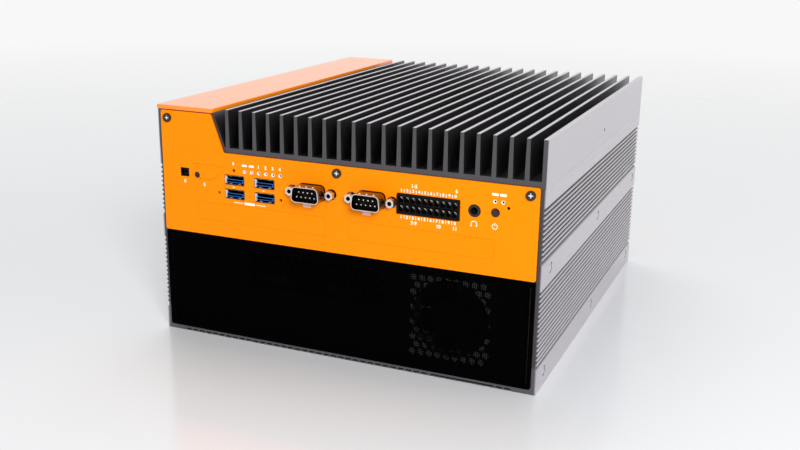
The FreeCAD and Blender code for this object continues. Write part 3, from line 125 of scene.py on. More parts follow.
SIDE_SCREW_ROWS = in_mm((3.0, 68.8), (0.5, 8.8))
COVER_SCREWS = in_mm((-102.5, -98.5), (-102.5, 108.5))
STRIP_SCREWS = in_mm((-66.0, 23.0), (-66.0, 43.32))
LOCK_HOLES = in_mm((-78.0, 92.8), (-36.4, 92.8), (100.4, 104.4))
RESET_HOLE = in_mm(-67.6, 107.1)
CARD_SCREW = in_mm(-93.0, 102.0)
CARD_CUT = in_mm(7.7, 2.6)
BLANK_SPAN = in_mm(7.0, 93.5)
BLANK_LEVELS = in_mm(75.0, 86.3)
LAN_MOUTHS = in_mm(-91.9, -76.1, -53.9, -38.1)
LAN_CONTACTS = 8
LAN_CONTACT_PITCH = 1.02 * MM
REMOTE_PLACE = in_mm(-101.6, 102.9)
SOUND_HIGH = 100.9 * MM
VIDEO_PLACES = in_mm(4.0, 28.0)
VIDEO_HIGH = 93.0 * MM
INLET_HIGH = 94.5 * MM
VENT_LEFT = in_mm(-67.8, 33.2, 30.8, 59.0)
PLAIN_PATCHES = in_mm((-53.8, 41.2, -32.8, 45.2), (-8.3, 41.2, 12.7, 45.2))
FAN_VENT = in_mm(57.0, 53.0)

# Openings: the play round a socket, a hole's radius, or a width, a height and a corner
DATA_PLAY = 1.1 * MM
DATA_CORNER = 0.7 * MM
SERIAL_PLAY = 0.75 * MM
JACK_HOLE = 3.2 * MM
TERMINAL_PLAY = 0.5 * MM
REMOTE_OPENING = in_mm(6.0, 5.3, 0.2)
CARD_PLAY = 0.12 * MM
SOUND_HOLE = 3.55 * MM
POWER_HOLE = 2.5 * MM
RESET_RADIUS = 1.0 * MM
LOCK_RADIUS = 0.9 * MM
LIGHT_PLAY = 0.12 * MM
LAN_PLAY = 0.2 * MM
VIDEO_OPENING = in_mm(17.8, 6.8, 0.5)
INLET_OPENING = in_mm(18.4, 10.4, 0.3)
COVER_SINK = 3.0 * MM

# Printed marks: places, and the width, height and corner of each bar
INK_LEVEL = 0.01 * MM
INK_PROUD = 0.03 * MM
NUMBER_TALL = 2.0 * MM
LIGHT_MARK_RISE = 3.7 * MM
STATUS_MARK_RISE = 4.0 * MM
COLUMN_NUMBER_OUT = 1.9 * MM
COLUMN_TICK_OUT = 1.7 * MM
COLUMN_RANGE_OUT = 4.8 * MM
COLUMN_RANGES = (("1-5", 10.0, 1), ("6", 34.5, 1), ("7-9", 10.0, -1), ("10", 24.5, -1),
                 ("11", 34.0, -1))
DATA_MARK = in_mm(-57.2, 88.0)
STACK_TICK_HIGH = 97.1 * MM
SERIAL_LABEL_HIGH = 92.3 * MM
REMOTE_MARK_HIGH = 97.3 * MM
CARD_MARK = in_mm(-88.0, 96.6)
RESET_MARK_HIGH = 111.2 * MM
SIGN_HIGH = 93.6 * MM
LAN_MARK_HIGH = 106.0 * MM
VIDEO_MARK_HIGH = 99.5 * MM
LIGHT_BAR = in_mm(3.4, 1.3, 0.3)
STATUS_BAR = in_mm(3.6, 1.4, 0.3)
SERIAL_LABEL = in_mm(5.0, 3.4, 0.3)
DATA_BAR = in_mm(7.0, 1.5, 0.3)
DATA_LINE = in_mm(6.4, 0.4)
DATA_LINE_OUT = 7.6 * MM
STACK_TICK = in_mm(1.2, 0.5)
COLUMN_TICK = in_mm(0.4, 1.8)

# Studio, in metres and watts: name, place, what it faces, size and power of each lamp
LAMPS = (
    ("lamp_key", (0.75, -1.15, 0.72), (0, -0.13, 0.1), 0.5, 19.0),
    ("lamp_right", (1.7, 0.2, 0.5), (0, 0.0, 0.1), 0.8, 6.0),
    ("lamp_top", (-0.5, 0.9, 1.7), (0, 0, 0.1), 1.6, 14.0),
)
CAMERA_PLACE = (0.24759, -0.63132, 0.24484)
FLOOR_FADE = (0.12, 0.7)


# Sizes and colours that a user would change

def length(name, about, default):
    return bpy.props.FloatProperty(name=name, description=about, default=default, min=0.0,
                                   unit="LENGTH", precision=5)


def number(name, about, default, least=0.0):
    return bpy.props.FloatProperty(name=name, description=about, default=default, min=least)


def angle(name, about, degrees):
    return bpy.props.FloatProperty(name=name, description=about,
                                   default=math.radians(degrees), subtype="ANGLE")


def colour(name, about, default):
    return bpy.props.FloatVectorProperty(name=name, description=about, default=default, size=3,
                                         min=0.0, max=1.0, subtype="COLOR")


class CaseFinish(bpy.types.PropertyGroup):
    """Colours and edges of the case."""
    paint: colour("Paint", "Powder coat of the panels and the top cover", (1.0, 0.255, 0.0))
    metal: colour("Extrusion", "Anodised walls and heatsink", (0.62, 0.585, 0.63))
    edge: length("Edge", "Rounding of sheet edges", 0.15 * MM)
    blank_line: length("Blank line", "Width of the blank covers' outlines", 0.28 * MM)


class FilterSizes(bpy.types.PropertyGroup):
    """Dust filter and the vents behind it."""
    wire_pitch: length("Wire pitch", "Distance between wires of the filter mesh", 1.05 * MM)
    wire_thick: length("Wire", "Thickness of one wire", 0.42 * MM)
    border: length("Border", "Width of the filter's frame", 2.2 * MM)
    cell_pitch: length("Cell pitch", "Distance between vent cells", 5.2 * MM)
    cell_rib: length("Cell rib", "Sheet left between vent cells", 0.9 * MM)


class ScrewSizes(bpy.types.PropertyGroup):
    """Screws of the case."""
    head: length("Head radius", "Radius of a screw's head", 2.7 * MM)
    rise: length("Head height", "Height of a pan head", 1.4 * MM)
    recess: length("Recess", "Half the width of the crossed recess", 1.45 * MM)
    sink: length("Sunk depth", "How far a sunk screw's head lies under the face", 0.35 * MM)


class SocketSizes(bpy.types.PropertyGroup):
    """Sockets, buttons and lights."""
    skin: length("Shell", "Thickness of a socket's metal shell", 0.4 * MM)
    pin: length("Pin", "Radius of a contact pin", 0.5 * MM)
    light: length("Light pipe", "Radius of a light pipe", 1.1 * MM)
    ink: colour("Marks", "Printed numbers and signs", (1.0, 0.97, 0.80))


class StudioSettings(bpy.types.PropertyGroup):
    """Floor, lamps and camera."""
    floor: colour("Floor", "Colour of the floor", (0.745, 0.760, 0.780))
    reach: length("Floor reach", "Radius of the floor", 2.4)
    fill: number("Fill", "Soft light of the white room", 0.45)
    backdrop: number("Backdrop", "Brightness of the white room where it is seen", 0.94)
    azimuth: angle("Azimuth", "Where the camera stands", 22.76)
    elevation: angle("Elevation", "Camera's height angle", 16.24)
    roll: angle("Roll", "Camera's tilt", 0.88)
    lens: number("Lens", "Focal length in millimetres", 45.8, 1.0)


GROUPS = {
    "computer_case": CaseFinish,
    "computer_filter": FilterSizes,
    "computer_screws": ScrewSizes,
    "computer_sockets": SocketSizes,
    "computer_studio": StudioSettings,
}


# Shader maths

class Value:
    """A shader socket that can stand in an ordinary sum."""

    def __init__(self, finish, socket):
        self.finish = finish
        self.socket = socket

    def maths(self, operation, first, second=0.0):
        return self.finish.node("Math", {"operation": operation}, {0: first, 1: second})

    def __add__(self, other):
        return self.maths("ADD", self, other)

    def __radd__(self, other):
        return self.maths("ADD", other, self)

    def __sub__(self, other):
        return self.maths("SUBTRACT", self, other)

    def __rsub__(self, other):
        return self.maths("SUBTRACT", other, self)

    def __mul__(self, other):
        return self.maths("MULTIPLY", self, other)

    def __rmul__(self, other):
        return self.maths("MULTIPLY", other, self)

    def __abs__(self):
        return self.maths("ABSOLUTE", self)

    def root(self):
        return self.maths("SQRT", self)

    def or_more(self, other):
        """The greater of two values."""
        return self.maths("MAXIMUM", self, other)


class Finish:
    """A material that is built node by node."""

    def __init__(self, name, **sockets):
        self.material = bpy.data.materials.new(name)
        self.material.use_nodes = True
        self.tree = self.material.node_tree
        self.tree.nodes.clear()
        self.shader = self.tree.nodes.new("ShaderNodeBsdfPrincipled")
        output = self.tree.nodes.new("ShaderNodeOutputMaterial")
        self.tree.links.new(self.shader.outputs[0], output.inputs[0])
        for socket, value in sockets.items():
            self.set(socket.replace("_", " "), value)

    def fill(self, plug, value):
        """Give a socket a link, a colour or a number."""
        if isinstance(value, Value):
            self.tree.links.new(value.socket, plug)
        elif isinstance(value, tuple) and plug.type == "RGBA":
            plug.default_value = (*value[:3], 1.0)
        else:
            plug.default_value = value

    def set(self, socket, value):
        """Fill one of the shader's own sockets."""
        self.fill(self.shader.inputs[socket], value)

    def node(self, kind, settings=None, sockets=None, out=0):
        """Add a node. Its settings come first, then the values or links of its sockets."""
        made = self.tree.nodes.new("ShaderNode" + kind)
        for name, value in (settings or {}).items():
            setattr(made, name, value)
        for key, value in (sockets or {}).items():
            self.fill(made.inputs[key], value)
        return Value(self, made.outputs[out])

    def places(self, scale=(1.0, 1.0, 1.0)):
        """Object coordinates, stretched by a scale."""
        return self.node("Mapping", {}, {0: self.node("TexCoord", out=3), 3: scale})

    def axes(self):
        """The three Object coordinates as numbers."""
        split = self.node("SeparateXYZ", {}, {0: self.node("TexCoord", out=3)})
        return [Value(self, outlet) for outlet in split.socket.node.outputs]

    def grain(self, size, scale=(1.0, 1.0, 1.0), detail=3.0):
        """Noise whose spots are about one size across, in metres."""
        return self.node("TexNoise", {}, {"Vector": self.places(scale), "Scale": 1.0 / size,
                                          "Detail": detail})

    def spread(self, value, lowest, highest, start=0.3, end=0.7):
        """Map a value from one span to another."""
        return self.node("MapRange", {}, {0: value, 1: start, 2: end, 3: lowest, 4: highest})

    def blend(self, share, first, second):
        """Mix two colours."""
        return self.node("Mix", {"data_type": "RGBA"}, {0: share, 6: first, 7: second}, out=2)

    def bump(self, height, depth):
        """Raise the surface by a pattern, so deep in metres."""
        self.set("Normal", self.node("Bump", {}, {"Height": height, "Distance": depth,
                                                  "Strength": 1.0}))

    def mottle(self, spots, tint, dark, light=1.0):
        """Colour the surface by spots, in two shades of one tint."""
        self.set("Base Color", self.blend(self.spread(spots, 0.0, 1.0), shade(tint, dark),
                                          shade(tint, light)))


def shade(tint, share):
    """A colour made lighter or darker."""
    return tuple(min(1.0, part * share) for part in tint)


def case_colour(setting):
    return tuple(getattr(bpy.context.scene.computer_case, setting))


def orange_paint(name, coat, shine):
    """Fine satin powder coat, with a faint orange-peel surface."""
    paint = Finish(name, Coat_Weight=coat, Coat_Roughness=0.16, Specular_IOR_Level=shine)
    paint.mottle(paint.grain(90 * MM, detail=2.0), case_colour("paint"), 0.97)
    speckle = paint.grain(0.5 * MM, detail=2.0)
    paint.set("Roughness", paint.spread(speckle, 0.38, 0.50))
    paint.bump(paint.grain(0.9 * MM, detail=2.0), 0.012 * MM)
    return paint.material


def drawn_metal(name, roughness):
    """Anodised metal with fine lines along the case's depth. Returns it and their colour."""
    metal = Finish(name, Metallic=0.9)
    tint = case_colour("metal")
    lines = metal.grain(0.35 * MM, scale=(1.0, 0.008, 1.0), detail=4.0)
    metal.set("Roughness", metal.spread(lines, roughness - 0.04, roughness + 0.06))
    metal.bump(lines, 0.006 * MM)
    drawn = metal.blend(metal.spread(lines, 0.0, 1.0), shade(tint, 0.93), shade(tint, 1.05))
    return metal, tint, drawn


def ribbed_metal(name, deep, roughness):
    """Anodised side wall with painted shade: the ribs keep the metal's drawn colour, and the grooves and the
    cut ends are painted dark.
    """
    metal, tint, drawn = drawn_metal(name, roughness)
    across = metal.axes()[0]
    # Painted shade: the rib grooves and the cut ends take the dark deep share of the metal, and the ribs
    # keep its drawn colour
    groove_shade_mask = metal.spread(abs(across), 0.0, 1.0, *RIB_GROOVE_SHADE_SPAN)
    metal.set("Base Color", metal.blend(groove_shade_mask, shade(tint, deep), drawn))
    return metal.material


def fin_metal(name, roughness):
    """Anodised heatsink with painted light: the fins are painted dark as shade, darkest low down between
    them behind their front ends, while the fin tips and the guard walls keep the bright metal as painted
    highlights.
    """
    metal, tint, drawn = drawn_metal(name, roughness)
    across, along, up = metal.axes()
    # Painted shade darkens the fins, most of all low down behind their front ends; painted highlights keep
    # the tips and the guard walls bright
    height = metal.spread(up, 0.0, 1.0, *FIN_GAP_SHADE_HEIGHTS)
    front = metal.spread(along, 1.0, 0.0, *FIN_FRONT_SHADE)
    tip_highlight = metal.spread(up, 0.0, 1.0, *FIN_TIP_HIGHLIGHT)
    outer_sheen = metal.spread(abs(across), 0.0, 1.0, *OUTER_WALL_SHEEN)
    fins = metal.blend(height.or_more(front), shade(tint, 0.01), shade(tint, 0.17))
    metal.set("Base Color", metal.blend(tip_highlight.or_more(outer_sheen), fins, drawn))
    return metal.material


def satin_metal(name, tint, roughness, metallic=1.0):
    """Plated or zinc-coated metal with small uneven spots."""
    metal = Finish(name, Metallic=metallic)
    spots = metal.grain(1.2 * MM)
    metal.mottle(spots, tint, 0.92)
    metal.set("Roughness", metal.spread(spots, roughness - 0.05, roughness + 0.08))
    metal.bump(metal.grain(0.3 * MM), 0.004 * MM)
    return metal.material


def moulded(name, tint, roughness, shine=0.4):
    """Moulded plastic with a fine even grain."""
    plastic = Finish(name, Specular_IOR_Level=shine)
    grain = plastic.grain(0.25 * MM, detail=2.0)
    plastic.mottle(grain, tint, 0.85, 1.1)
    plastic.set("Roughness", plastic.spread(grain, roughness - 0.06, roughness + 0.08))
    plastic.bump(grain, 0.008 * MM)
    return plastic.material


def painted_sheet(name, tint, roughness, shine):
    """Thin matt paint on sheet metal."""
    sheet = Finish(name, Specular_IOR_Level=shine)
    sheet.mottle(sheet.grain(30 * MM), tint, 0.9)
    speckle = sheet.grain(0.6 * MM)
    sheet.set("Roughness", sheet.spread(speckle, roughness - 0.06, roughness + 0.08))
    sheet.bump(sheet.grain(0.5 * MM), 0.01 * MM)
    return sheet.material


def score_paint(name):
    """The panels' paint in the shade of a shallow groove."""
    return painted_sheet(name, shade(case_colour("paint"), 0.74), 0.5, 0.1)


def circuit_board(name):
    """Green solder mask with a hint of the tracks under it."""
    board = Finish(name, Coat_Weight=0.3, Coat_Roughness=0.2)
    tracks = board.node("TexBrick", {"offset": 0.37}, {
        "Vector": board.places(), "Scale": 1.0 / (9 * MM), "Mortar Size": 0.02,
        "Color1": (0.020, 0.120, 0.060), "Color2": (0.016, 0.100, 0.050),
        "Mortar": (0.045, 0.200, 0.100)})
    board.set("Base Color", tracks)
    board.set("Roughness", board.spread(board.grain(1.5 * MM), 0.3, 0.45))
    board.bump(board.grain(0.8 * MM), 0.01 * MM)
    return board.material


def light_pipe(name):
    """Milky clear plastic."""
    pipe = Finish(name, IOR=1.45)
    haze = pipe.grain(0.6 * MM)
    pipe.set("Base Color", pipe.blend(haze, (0.95, 0.84, 0.82), (1.0, 0.96, 0.94)))
    pipe.set("Roughness", pipe.spread(haze, 0.12, 0.30))
    return pipe.material


def printed_ink(name):
    """Opaque printed marks, worn a little thin in places."""
    ink = Finish(name)
    wear = ink.grain(0.4 * MM)
    ink.mottle(wear, tuple(bpy.context.scene.computer_sockets.ink), 0.94)
    ink.set("Roughness", ink.spread(wear, 0.45, 0.6))
    return ink.material


# Each finish: its maker, then what that maker asks for
MAKERS = {
    "orange_paint": (orange_paint, 0.0, 0.1),
    "cover_paint": (orange_paint, 1.0, 0.5),
    "score_line": (score_paint,),
    # Painted shade: extrusion and tray_paint darken the rib grooves and the cut ends
    "extrusion": (ribbed_metal, 0.13, 0.30),
    "tray_paint": (ribbed_metal, 0.24, 0.33),
    # Painted shade and highlights: heatsink_metal darkens the fins and keeps their tips and the guard walls
    # bright
    "heatsink_metal": (fin_metal, 0.32),
    "filter_black": (painted_sheet, (0.0006, 0.0006, 0.0006), 0.6, 0.01),
    "vent_black": (painted_sheet, (0.004, 0.004, 0.004), 0.6, 0.04),
    "label_pink": (painted_sheet, (1.0, 0.60, 0.52), 0.5, 0.1),
    # fan_grey: the fan frame is lighter than the black rotor, as painted light for the light seen at its
    # corners through the honeycomb
    "fan_grey": (moulded, (0.12, 0.12, 0.12), 0.4),
    "fan_black": (moulded, (0.006, 0.006, 0.006), 0.5, 0.1),
    "black_plastic": (moulded, (0.004, 0.003, 0.003), 0.5, 0.12),
    "gloss_black": (moulded, (0.010, 0.010, 0.010), 0.16),
    # deep_black: black darkened further as painted shade, for the back walls of the data sockets, the
    # jackscrews' threaded holes, the headphone socket's bore and the light pipes' centres
    "deep_black": (moulded, (0.002, 0.002, 0.002), 0.6, 0.05),
    # pale_inside: pale white that stands in for glints on the data sockets' left inner walls, the serial
    # tubes' dimples and the screw recesses; on the terminal springs it is partly their own bright metal
    "pale_inside": (moulded, (0.95, 0.90, 0.84), 0.4),
    "lamp_grey": (moulded, (0.42, 0.30, 0.30), 0.3),
    "button_plastic": (moulded, (0.020, 0.012, 0.012), 0.3),
    "blue_plastic": (moulded, (0.030, 0.230, 0.780), 0.4),
    # red_plastic: a dark red ring lining the power button's hole, painted light and shade of the hole's edge
    "red_plastic": (moulded, (0.45, 0.02, 0.01), 0.35),
    "chip": (moulded, (0.020, 0.020, 0.022), 0.5),
    "nickel": (satin_metal, (0.80, 0.76, 0.74), 0.2),
    # tube_metal: plating darker than the nickel rims, as painted shade and painted dark reflection on the
    # data socket shells, the serial tubes and their flanges
    "tube_metal": (satin_metal, (0.22, 0.19, 0.18), 0.14),
    "zinc": (satin_metal, (0.86, 0.86, 0.88), 0.25),
    "gold": (satin_metal, (0.92, 0.78, 0.45), 0.22),
    "pin_metal": (satin_metal, (0.95, 0.92, 0.86), 0.18),
    "milled": (satin_metal, (0.75, 0.75, 0.77), 0.3),
    "black_oxide": (satin_metal, (0.05, 0.045, 0.045), 0.3, 0.8),
    "circuit_board": (circuit_board,),
    "light_pipe": (light_pipe,),
    "printed_ink": (printed_ink,),
}
FINISHES = {}


def finish(name):
    """The named material, made the first time that it is asked for."""
    if name not in FINISHES:
        maker, *values = MAKERS[name]
        FINISHES[name] = maker(name, *values)
    return FINISHES[name]


# Making pieces

def painted(thing, coat):
    thing.data.materials.clear()
    thing.data.materials.append(finish(coat))
    return thing


def keep(thing, name, coat=None, body="case", stands_for=()):
    """Name a finished piece or a list of its parts, paint it, and let it ride on its body."""
    if isinstance(thing, list):
        thing = merge(thing, name)
    thing.name = name
    if coat:
        painted(thing, coat)
    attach(thing, body)
    if stands_for:
        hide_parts(*stands_for)


def linked(name, data):
    """A new object in the scene."""
    thing = bpy.data.objects.new(name, data)
    bpy.context.scene.collection.objects.link(thing)
    return thing


def from_bmesh(shape, name):
    """A new object from a finished bmesh, with its faces turned outwards."""
    bmesh.ops.remove_doubles(shape, verts=shape.verts, dist=1e-7)
    bmesh.ops.recalc_face_normals(shape, faces=shape.faces)
    mesh = bpy.data.meshes.new(name)
    shape.to_mesh(mesh)
    shape.free()
    return linked(name, mesh)


def plain_mesh(source, name):
    """The evaluated shape of an object as a plain mesh object; the source is removed."""
    graph = bpy.context.evaluated_depsgraph_get()
    mesh = bpy.data.meshes.new_from_object(source.evaluated_get(graph), depsgraph=graph)
    bpy.data.objects.remove(source)
    return linked(name, mesh)


def merge(parts, name):
    """Join several mesh objects into one, keeping their materials."""
    shape = bmesh.new()
    mesh = bpy.data.meshes.new(name)
    for part in parts:
        coats = []
        for coat in part.data.materials:
            if coat not in list(mesh.materials):
                mesh.materials.append(coat)
            coats.append(list(mesh.materials).index(coat))
        start = len(shape.faces)
        shape.from_mesh(part.data)
        shape.faces.ensure_lookup_table()
        for face in shape.faces[start:]:
            face.material_index = coats[face.material_index] if coats else 0
        bpy.data.objects.remove(part)
    shape.to_mesh(mesh)
    shape.free()
    return linked(name, mesh)


def stand(mesh, level, towards_rear=False):
    """Stand a flat shape up: its own X and Y become the case's X and Z, its top faces outwards."""
    turn = Matrix.Rotation(math.radians(90), 4, "X")
    if towards_rear:
        turn = Matrix.Rotation(math.radians(180), 4, "Z") @ turn
    mesh.transform(Matrix.Translation((0, level, 0)) @ turn)


def plate(name, outlines, near, far, edge=0.0, view="front"):
    """A plate with holes between two levels, with rounded edges. The first outline is the rim."""
    curve = bpy.data.curves.new(name, "CURVE")
    curve.dimensions = "2D"
    curve.fill_mode = "BOTH"
    curve.extrude = (far - near) / 2 - edge
    curve.bevel_depth = edge
    curve.offset = -edge
    curve.bevel_resolution = 2 if edge else 0
    for outline in outlines:
        spline = curve.splines.new("POLY")
        spline.points.add(len(outline) - 1)
        for point, (across, up) in zip(spline.points, outline):
            point.co = (across, up, 0.0, 1.0)
        spline.use_cyclic_u = True
    thing = plain_mesh(linked(name, curve), name)
    if view == "front":
        stand(thing.data, (near + far) / 2)
    else:
        thing.data.transform(Matrix.Translation((0, 0, (near + far) / 2)))
    return thing


def rounded(across, up, wide, tall, radius=0.0, steps=5):
    """A rectangle about a middle, with round corners."""
    if radius <= 0:
        return [(across + x * wide / 2, up + z * tall / 2)
                for x, z in ((-1, -1), (1, -1), (1, 1), (-1, 1))]
    points = []
    for corner, (x, z) in enumerate(((1, 1), (-1, 1), (-1, -1), (1, -1))):
        for step in range(steps + 1):
            angle = math.radians(90) * (corner + step / steps)
            points.append((across + x * (wide / 2 - radius) + radius * math.cos(angle),
                           up + z * (tall / 2 - radius) + radius * math.sin(angle)))
    return points


def circle(across, up, radius, sides=24):
    return [(across + radius * math.cos(math.tau * i / sides),
             up + radius * math.sin(math.tau * i / sides)) for i in range(sides)]


def hexagon(across, up, flat):
    reach = flat / 2 / math.cos(math.radians(30))
    return [(across + reach * math.sin(math.radians(60 * i)),
             up + reach * math.cos(math.radians(60 * i))) for i in range(6)]


def round_corners(corners, radius, steps=5):
    """Round each corner of a closed outline by the same radius."""
    points = []
    count = len(corners)
    for i, corner in enumerate(corners):
        here = Vector(corner)
        back = (Vector(corners[i - 1]) - here).normalized()
        ahead = (Vector(corners[(i + 1) % count]) - here).normalized()
        half = math.acos(max(-1.0, min(1.0, back.dot(ahead)))) / 2
        centre = here + (back + ahead).normalized() * radius / math.sin(half)
        start = here + back * radius / math.tan(half) - centre
        end = here + ahead * radius / math.tan(half) - centre
        sweep = start.angle_signed(end)
        for step in range(steps + 1):
            arm = start.copy()
            arm.rotate(Matrix.Rotation(-sweep * step / steps, 2))
            points.append(tuple(centre + arm))
    return points


def turned(name, profile, steps, across=0.0, up=0.0):
    """A shape turned about a line along Y. Its profile is (distance from the line, level)."""
    shape = bmesh.new()
    rings = []
    for radius, level in profile:
        if radius < 1e-9:
            rings.append([shape.verts.new((across, level, up))])
        else:
            rings.append([shape.verts.new((across + radius * math.cos(math.tau * i / steps),
                                           level, up + radius * math.sin(math.tau * i / steps)))
                          for i in range(steps)])
    for one, two in zip(rings, rings[1:]):
        for i in range(steps):
            j = (i + 1) % steps
            corners = [one[i % len(one)], one[j % len(one)], two[j % len(two)],
                       two[i % len(two)]]
            unique = list(dict.fromkeys(corners))
            if len(unique) > 2:
                shape.faces.new(unique)
    return from_bmesh(shape, name)


def profile(level, *points):
    """Points of a profile, given in millimetres from a level."""
    return [(radius * MM, level + along * MM) for radius, along in points]


def block(name, lowest, highest, edge=0.0):
    """A box between two corners with bevelled edges."""
    shape = bmesh.new()
    bmesh.ops.create_cube(shape, size=1.0)
    lowest = Vector(lowest)
    highest = Vector(highest)
    span = highest - lowest
    for corner in shape.verts:
        corner.co = lowest + Vector([(corner.co[i] + 0.5) * span[i] for i in range(3)])
    if edge:
        bmesh.ops.bevel(shape, geom=list(shape.edges), offset=edge, segments=2,
                        affect="EDGES", profile=0.7)
    return from_bmesh(shape, name)


def words(text, across, up, tall=NUMBER_TALL, towards_rear=False):
    """Printed characters on the front or rear panel, centred on a place."""
    curve = bpy.data.curves.new("mark", "FONT")
    curve.body = text
    curve.size = tall * 1.4
    curve.align_x = "CENTER"
    curve.align_y = "CENTER"
    curve.extrude = 0.02 * MM
    curve.offset = 0.09 * MM
    curve.resolution_u = 3
    thing = plain_mesh(linked("mark", curve), "mark")
    side = -1 if towards_rear else 1
    level = REAR_FACE + INK_LEVEL if towards_rear else FACE - INK_LEVEL
    thing.data.transform(Matrix.Translation((across * side, up, 0)))
    stand(thing.data, level, towards_rear)
    return painted(thing, "printed_ink")


# Geometry Nodes for what repeats. A part faces the front until it is turned

TO_FRONT = (0.0, 0.0, 0.0)
TO_REAR = (0.0, 0.0, math.pi)
UPWARDS = (-math.pi / 2, 0.0, 0.0)


def new_tree(name, inputs):
    """An empty modifier tree with named inputs."""
    tree = bpy.data.node_groups.new(name, "GeometryNodeTree")
    tree.is_modifier = True
    tree.interface.new_socket("Geometry", in_out="INPUT", socket_type="NodeSocketGeometry")
    for label, kind in inputs:
        tree.interface.new_socket(label, in_out="INPUT", socket_type="NodeSocket" + kind)
    tree.interface.new_socket("Geometry", in_out="OUTPUT", socket_type="NodeSocketGeometry")
    return tree, tree.nodes.new("NodeGroupInput"), tree.nodes.new("NodeGroupOutput")


def join(tree, *pairs):
    """Link an output of one node to an input of another, for each pair."""
    for source, outlet, target, inlet in pairs:
        tree.links.new(source.outputs[outlet], target.inputs[inlet])


def add_copies(tree, given, result, points):
    """Put the part on every point, make the copies real, and give them their finish."""
    info = tree.nodes.new("GeometryNodeObjectInfo")
    spread = tree.nodes.new("GeometryNodeInstanceOnPoints")
    real = tree.nodes.new("GeometryNodeRealizeInstances")
    coat = tree.nodes.new("GeometryNodeSetMaterial")
    join(tree,
         (given, "Part", info, "Object"),
         (points, 0, spread, "Points"),
         (info, "Geometry", spread, "Instance"),
         (spread, 0, real, 0),
         (real, 0, coat, "Geometry"),
         (given, "Coat", coat, "Material"),
         (coat, 0, result, 0))
    return spread


def places_tree():
    """Puts a copy of one part on every point of the mesh."""
    if "Parts on places" in bpy.data.node_groups:
        return bpy.data.node_groups["Parts on places"]
    tree, given, result = new_tree("Parts on places", (
        ("Part", "Object"), ("Turn", "Vector"), ("Coat", "Material")))
    spread = add_copies(tree, given, result, given)
    join(tree, (given, "Turn", spread, "Rotation"))
    return tree


def grid_tree():
    """Puts copies of one part in rows: so many along one pitch, and so many along another."""
    if "Parts in rows" in bpy.data.node_groups:
        return bpy.data.node_groups["Parts in rows"]
    tree, given, result = new_tree("Parts in rows", (
        ("Part", "Object"), ("Start", "Vector"), ("Pitch", "Vector"), ("Count", "Int"),
        ("Row Pitch", "Vector"), ("Rows", "Int"), ("Coat", "Material")))
    line = tree.nodes.new("GeometryNodeMeshLine")
    rows = tree.nodes.new("GeometryNodeMeshLine")
    points = tree.nodes.new("GeometryNodeInstanceOnPoints")
    solid_points = tree.nodes.new("GeometryNodeRealizeInstances")
    join(tree,
         (given, "Count", line, "Count"),
         (given, "Start", line, "Start Location"),
         (given, "Pitch", line, "Offset"),
         (given, "Rows", rows, "Count"),
         (given, "Row Pitch", rows, "Offset"),
         (line, 0, points, "Points"),
         (rows, 0, points, "Instance"),
         (points, 0, solid_points, 0))
    add_copies(tree, given, result, solid_points)
    return tree


def run_tree(name, tree, mesh, settings):
    """Run a tree on a mesh and keep the result as a plain mesh."""
    carrier = linked(name + "_places", mesh)
    modifier = carrier.modifiers.new("Rows", "NODES")
    modifier.node_group = tree
    sockets = {item.name: item.identifier for item in tree.interface.items_tree
               if item.item_type == "SOCKET" and item.in_out == "INPUT"}
    for label, value in settings.items():
        modifier[sockets[label]] = value
    made = plain_mesh(carrier, name)
    bpy.data.objects.remove(settings["Part"])
    return made


def on_places(name, part, places, coat, turn=TO_FRONT):
    """Copies of a part at given places."""
    mesh = bpy.data.meshes.new(name + "_places")
    mesh.from_pydata([tuple(place) for place in places], [], [])
    return run_tree(name, places_tree(), mesh, {
        "Part": part, "Turn": turn, "Coat": finish(coat)})


def in_rows(name, part, start, pitch, count, coat, row_pitch=(0.0, 0.0, 0.0), rows=1):
    """Copies of a part in rows."""
    return run_tree(name, grid_tree(), bpy.data.meshes.new(name + "_places"), {
        "Part": part, "Start": start, "Pitch": pitch, "Count": count,
        "Row Pitch": row_pitch, "Rows": rows, "Coat": finish(coat)})


# Case

def edges(node, spread=0.0):
    """Left, right, bottom and top of a solid seen from the front, moved outwards."""
    lowest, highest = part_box(node)
    return lowest.x - spread, highest.x + spread, lowest.z - spread, highest.z + spread


def panel_rim():
    """Outline of the front and rear panels: high at the left, cut down past a sloping notch."""
    left, right, bottom, top = edges("front_panel")
    corners = [(left, bottom), (right, bottom), (right, SIDE_TOP), (NOTCH_ROOT_X, SIDE_TOP),
               (NOTCH_TOP_X, top), (left, top)]
    return round_corners(corners, PANEL_CORNER)


def data_places(end):
    """Middles of the data sockets of the front or the rear."""
    stacks = ("usb_stack_left", "usb_stack_right") if end == "front" else ("usb_stack_rear",)
    return [(middle(stack).x, level) for stack in stacks for level in DATA_LEVELS]


def data_openings(end):
    """Openings of the data sockets in the front or the rear panel."""
    wide, tall = (size + DATA_PLAY for size in DATA_MOUTH)
    return [rounded(x, z, wide, tall, DATA_CORNER) for x, z in data_places(end)]


def plug_outline(node, spread, steps=5):
    """D-shaped outline of a serial socket, wide side down."""
    across = middle(node).x
    wide, narrow, tall = (half + spread for half in SERIAL_HALVES)
    corners = [(across - wide, SERIAL_HIGH - tall), (across + wide, SERIAL_HIGH - tall),
               (across + narrow, SERIAL_HIGH + tall), (across - narrow, SERIAL_HIGH + tall)]
    return round_corners(corners, SERIAL_ROUND + spread, steps)


def card_outline(spread):
    """Outline of the small cover: a rectangle with one corner cut off."""
    left, right, bottom, top = edges("card_cover", spread)
    cut_x = right - CARD_CUT[0]
    cut_z = top - CARD_CUT[1]
    return [(left, bottom), (cut_x, bottom), (right, cut_z), (right, top), (left, top)]


def jack_places():
    return [(middle(node).x + side * JACK_HALF, SERIAL_HIGH) for node in SERIALS
            for side in (-1, 1)]


def status_places():
    return [(STATUS_FIRST + i * STATUS_PITCH, LIGHT_HIGH) for i in range(2)]


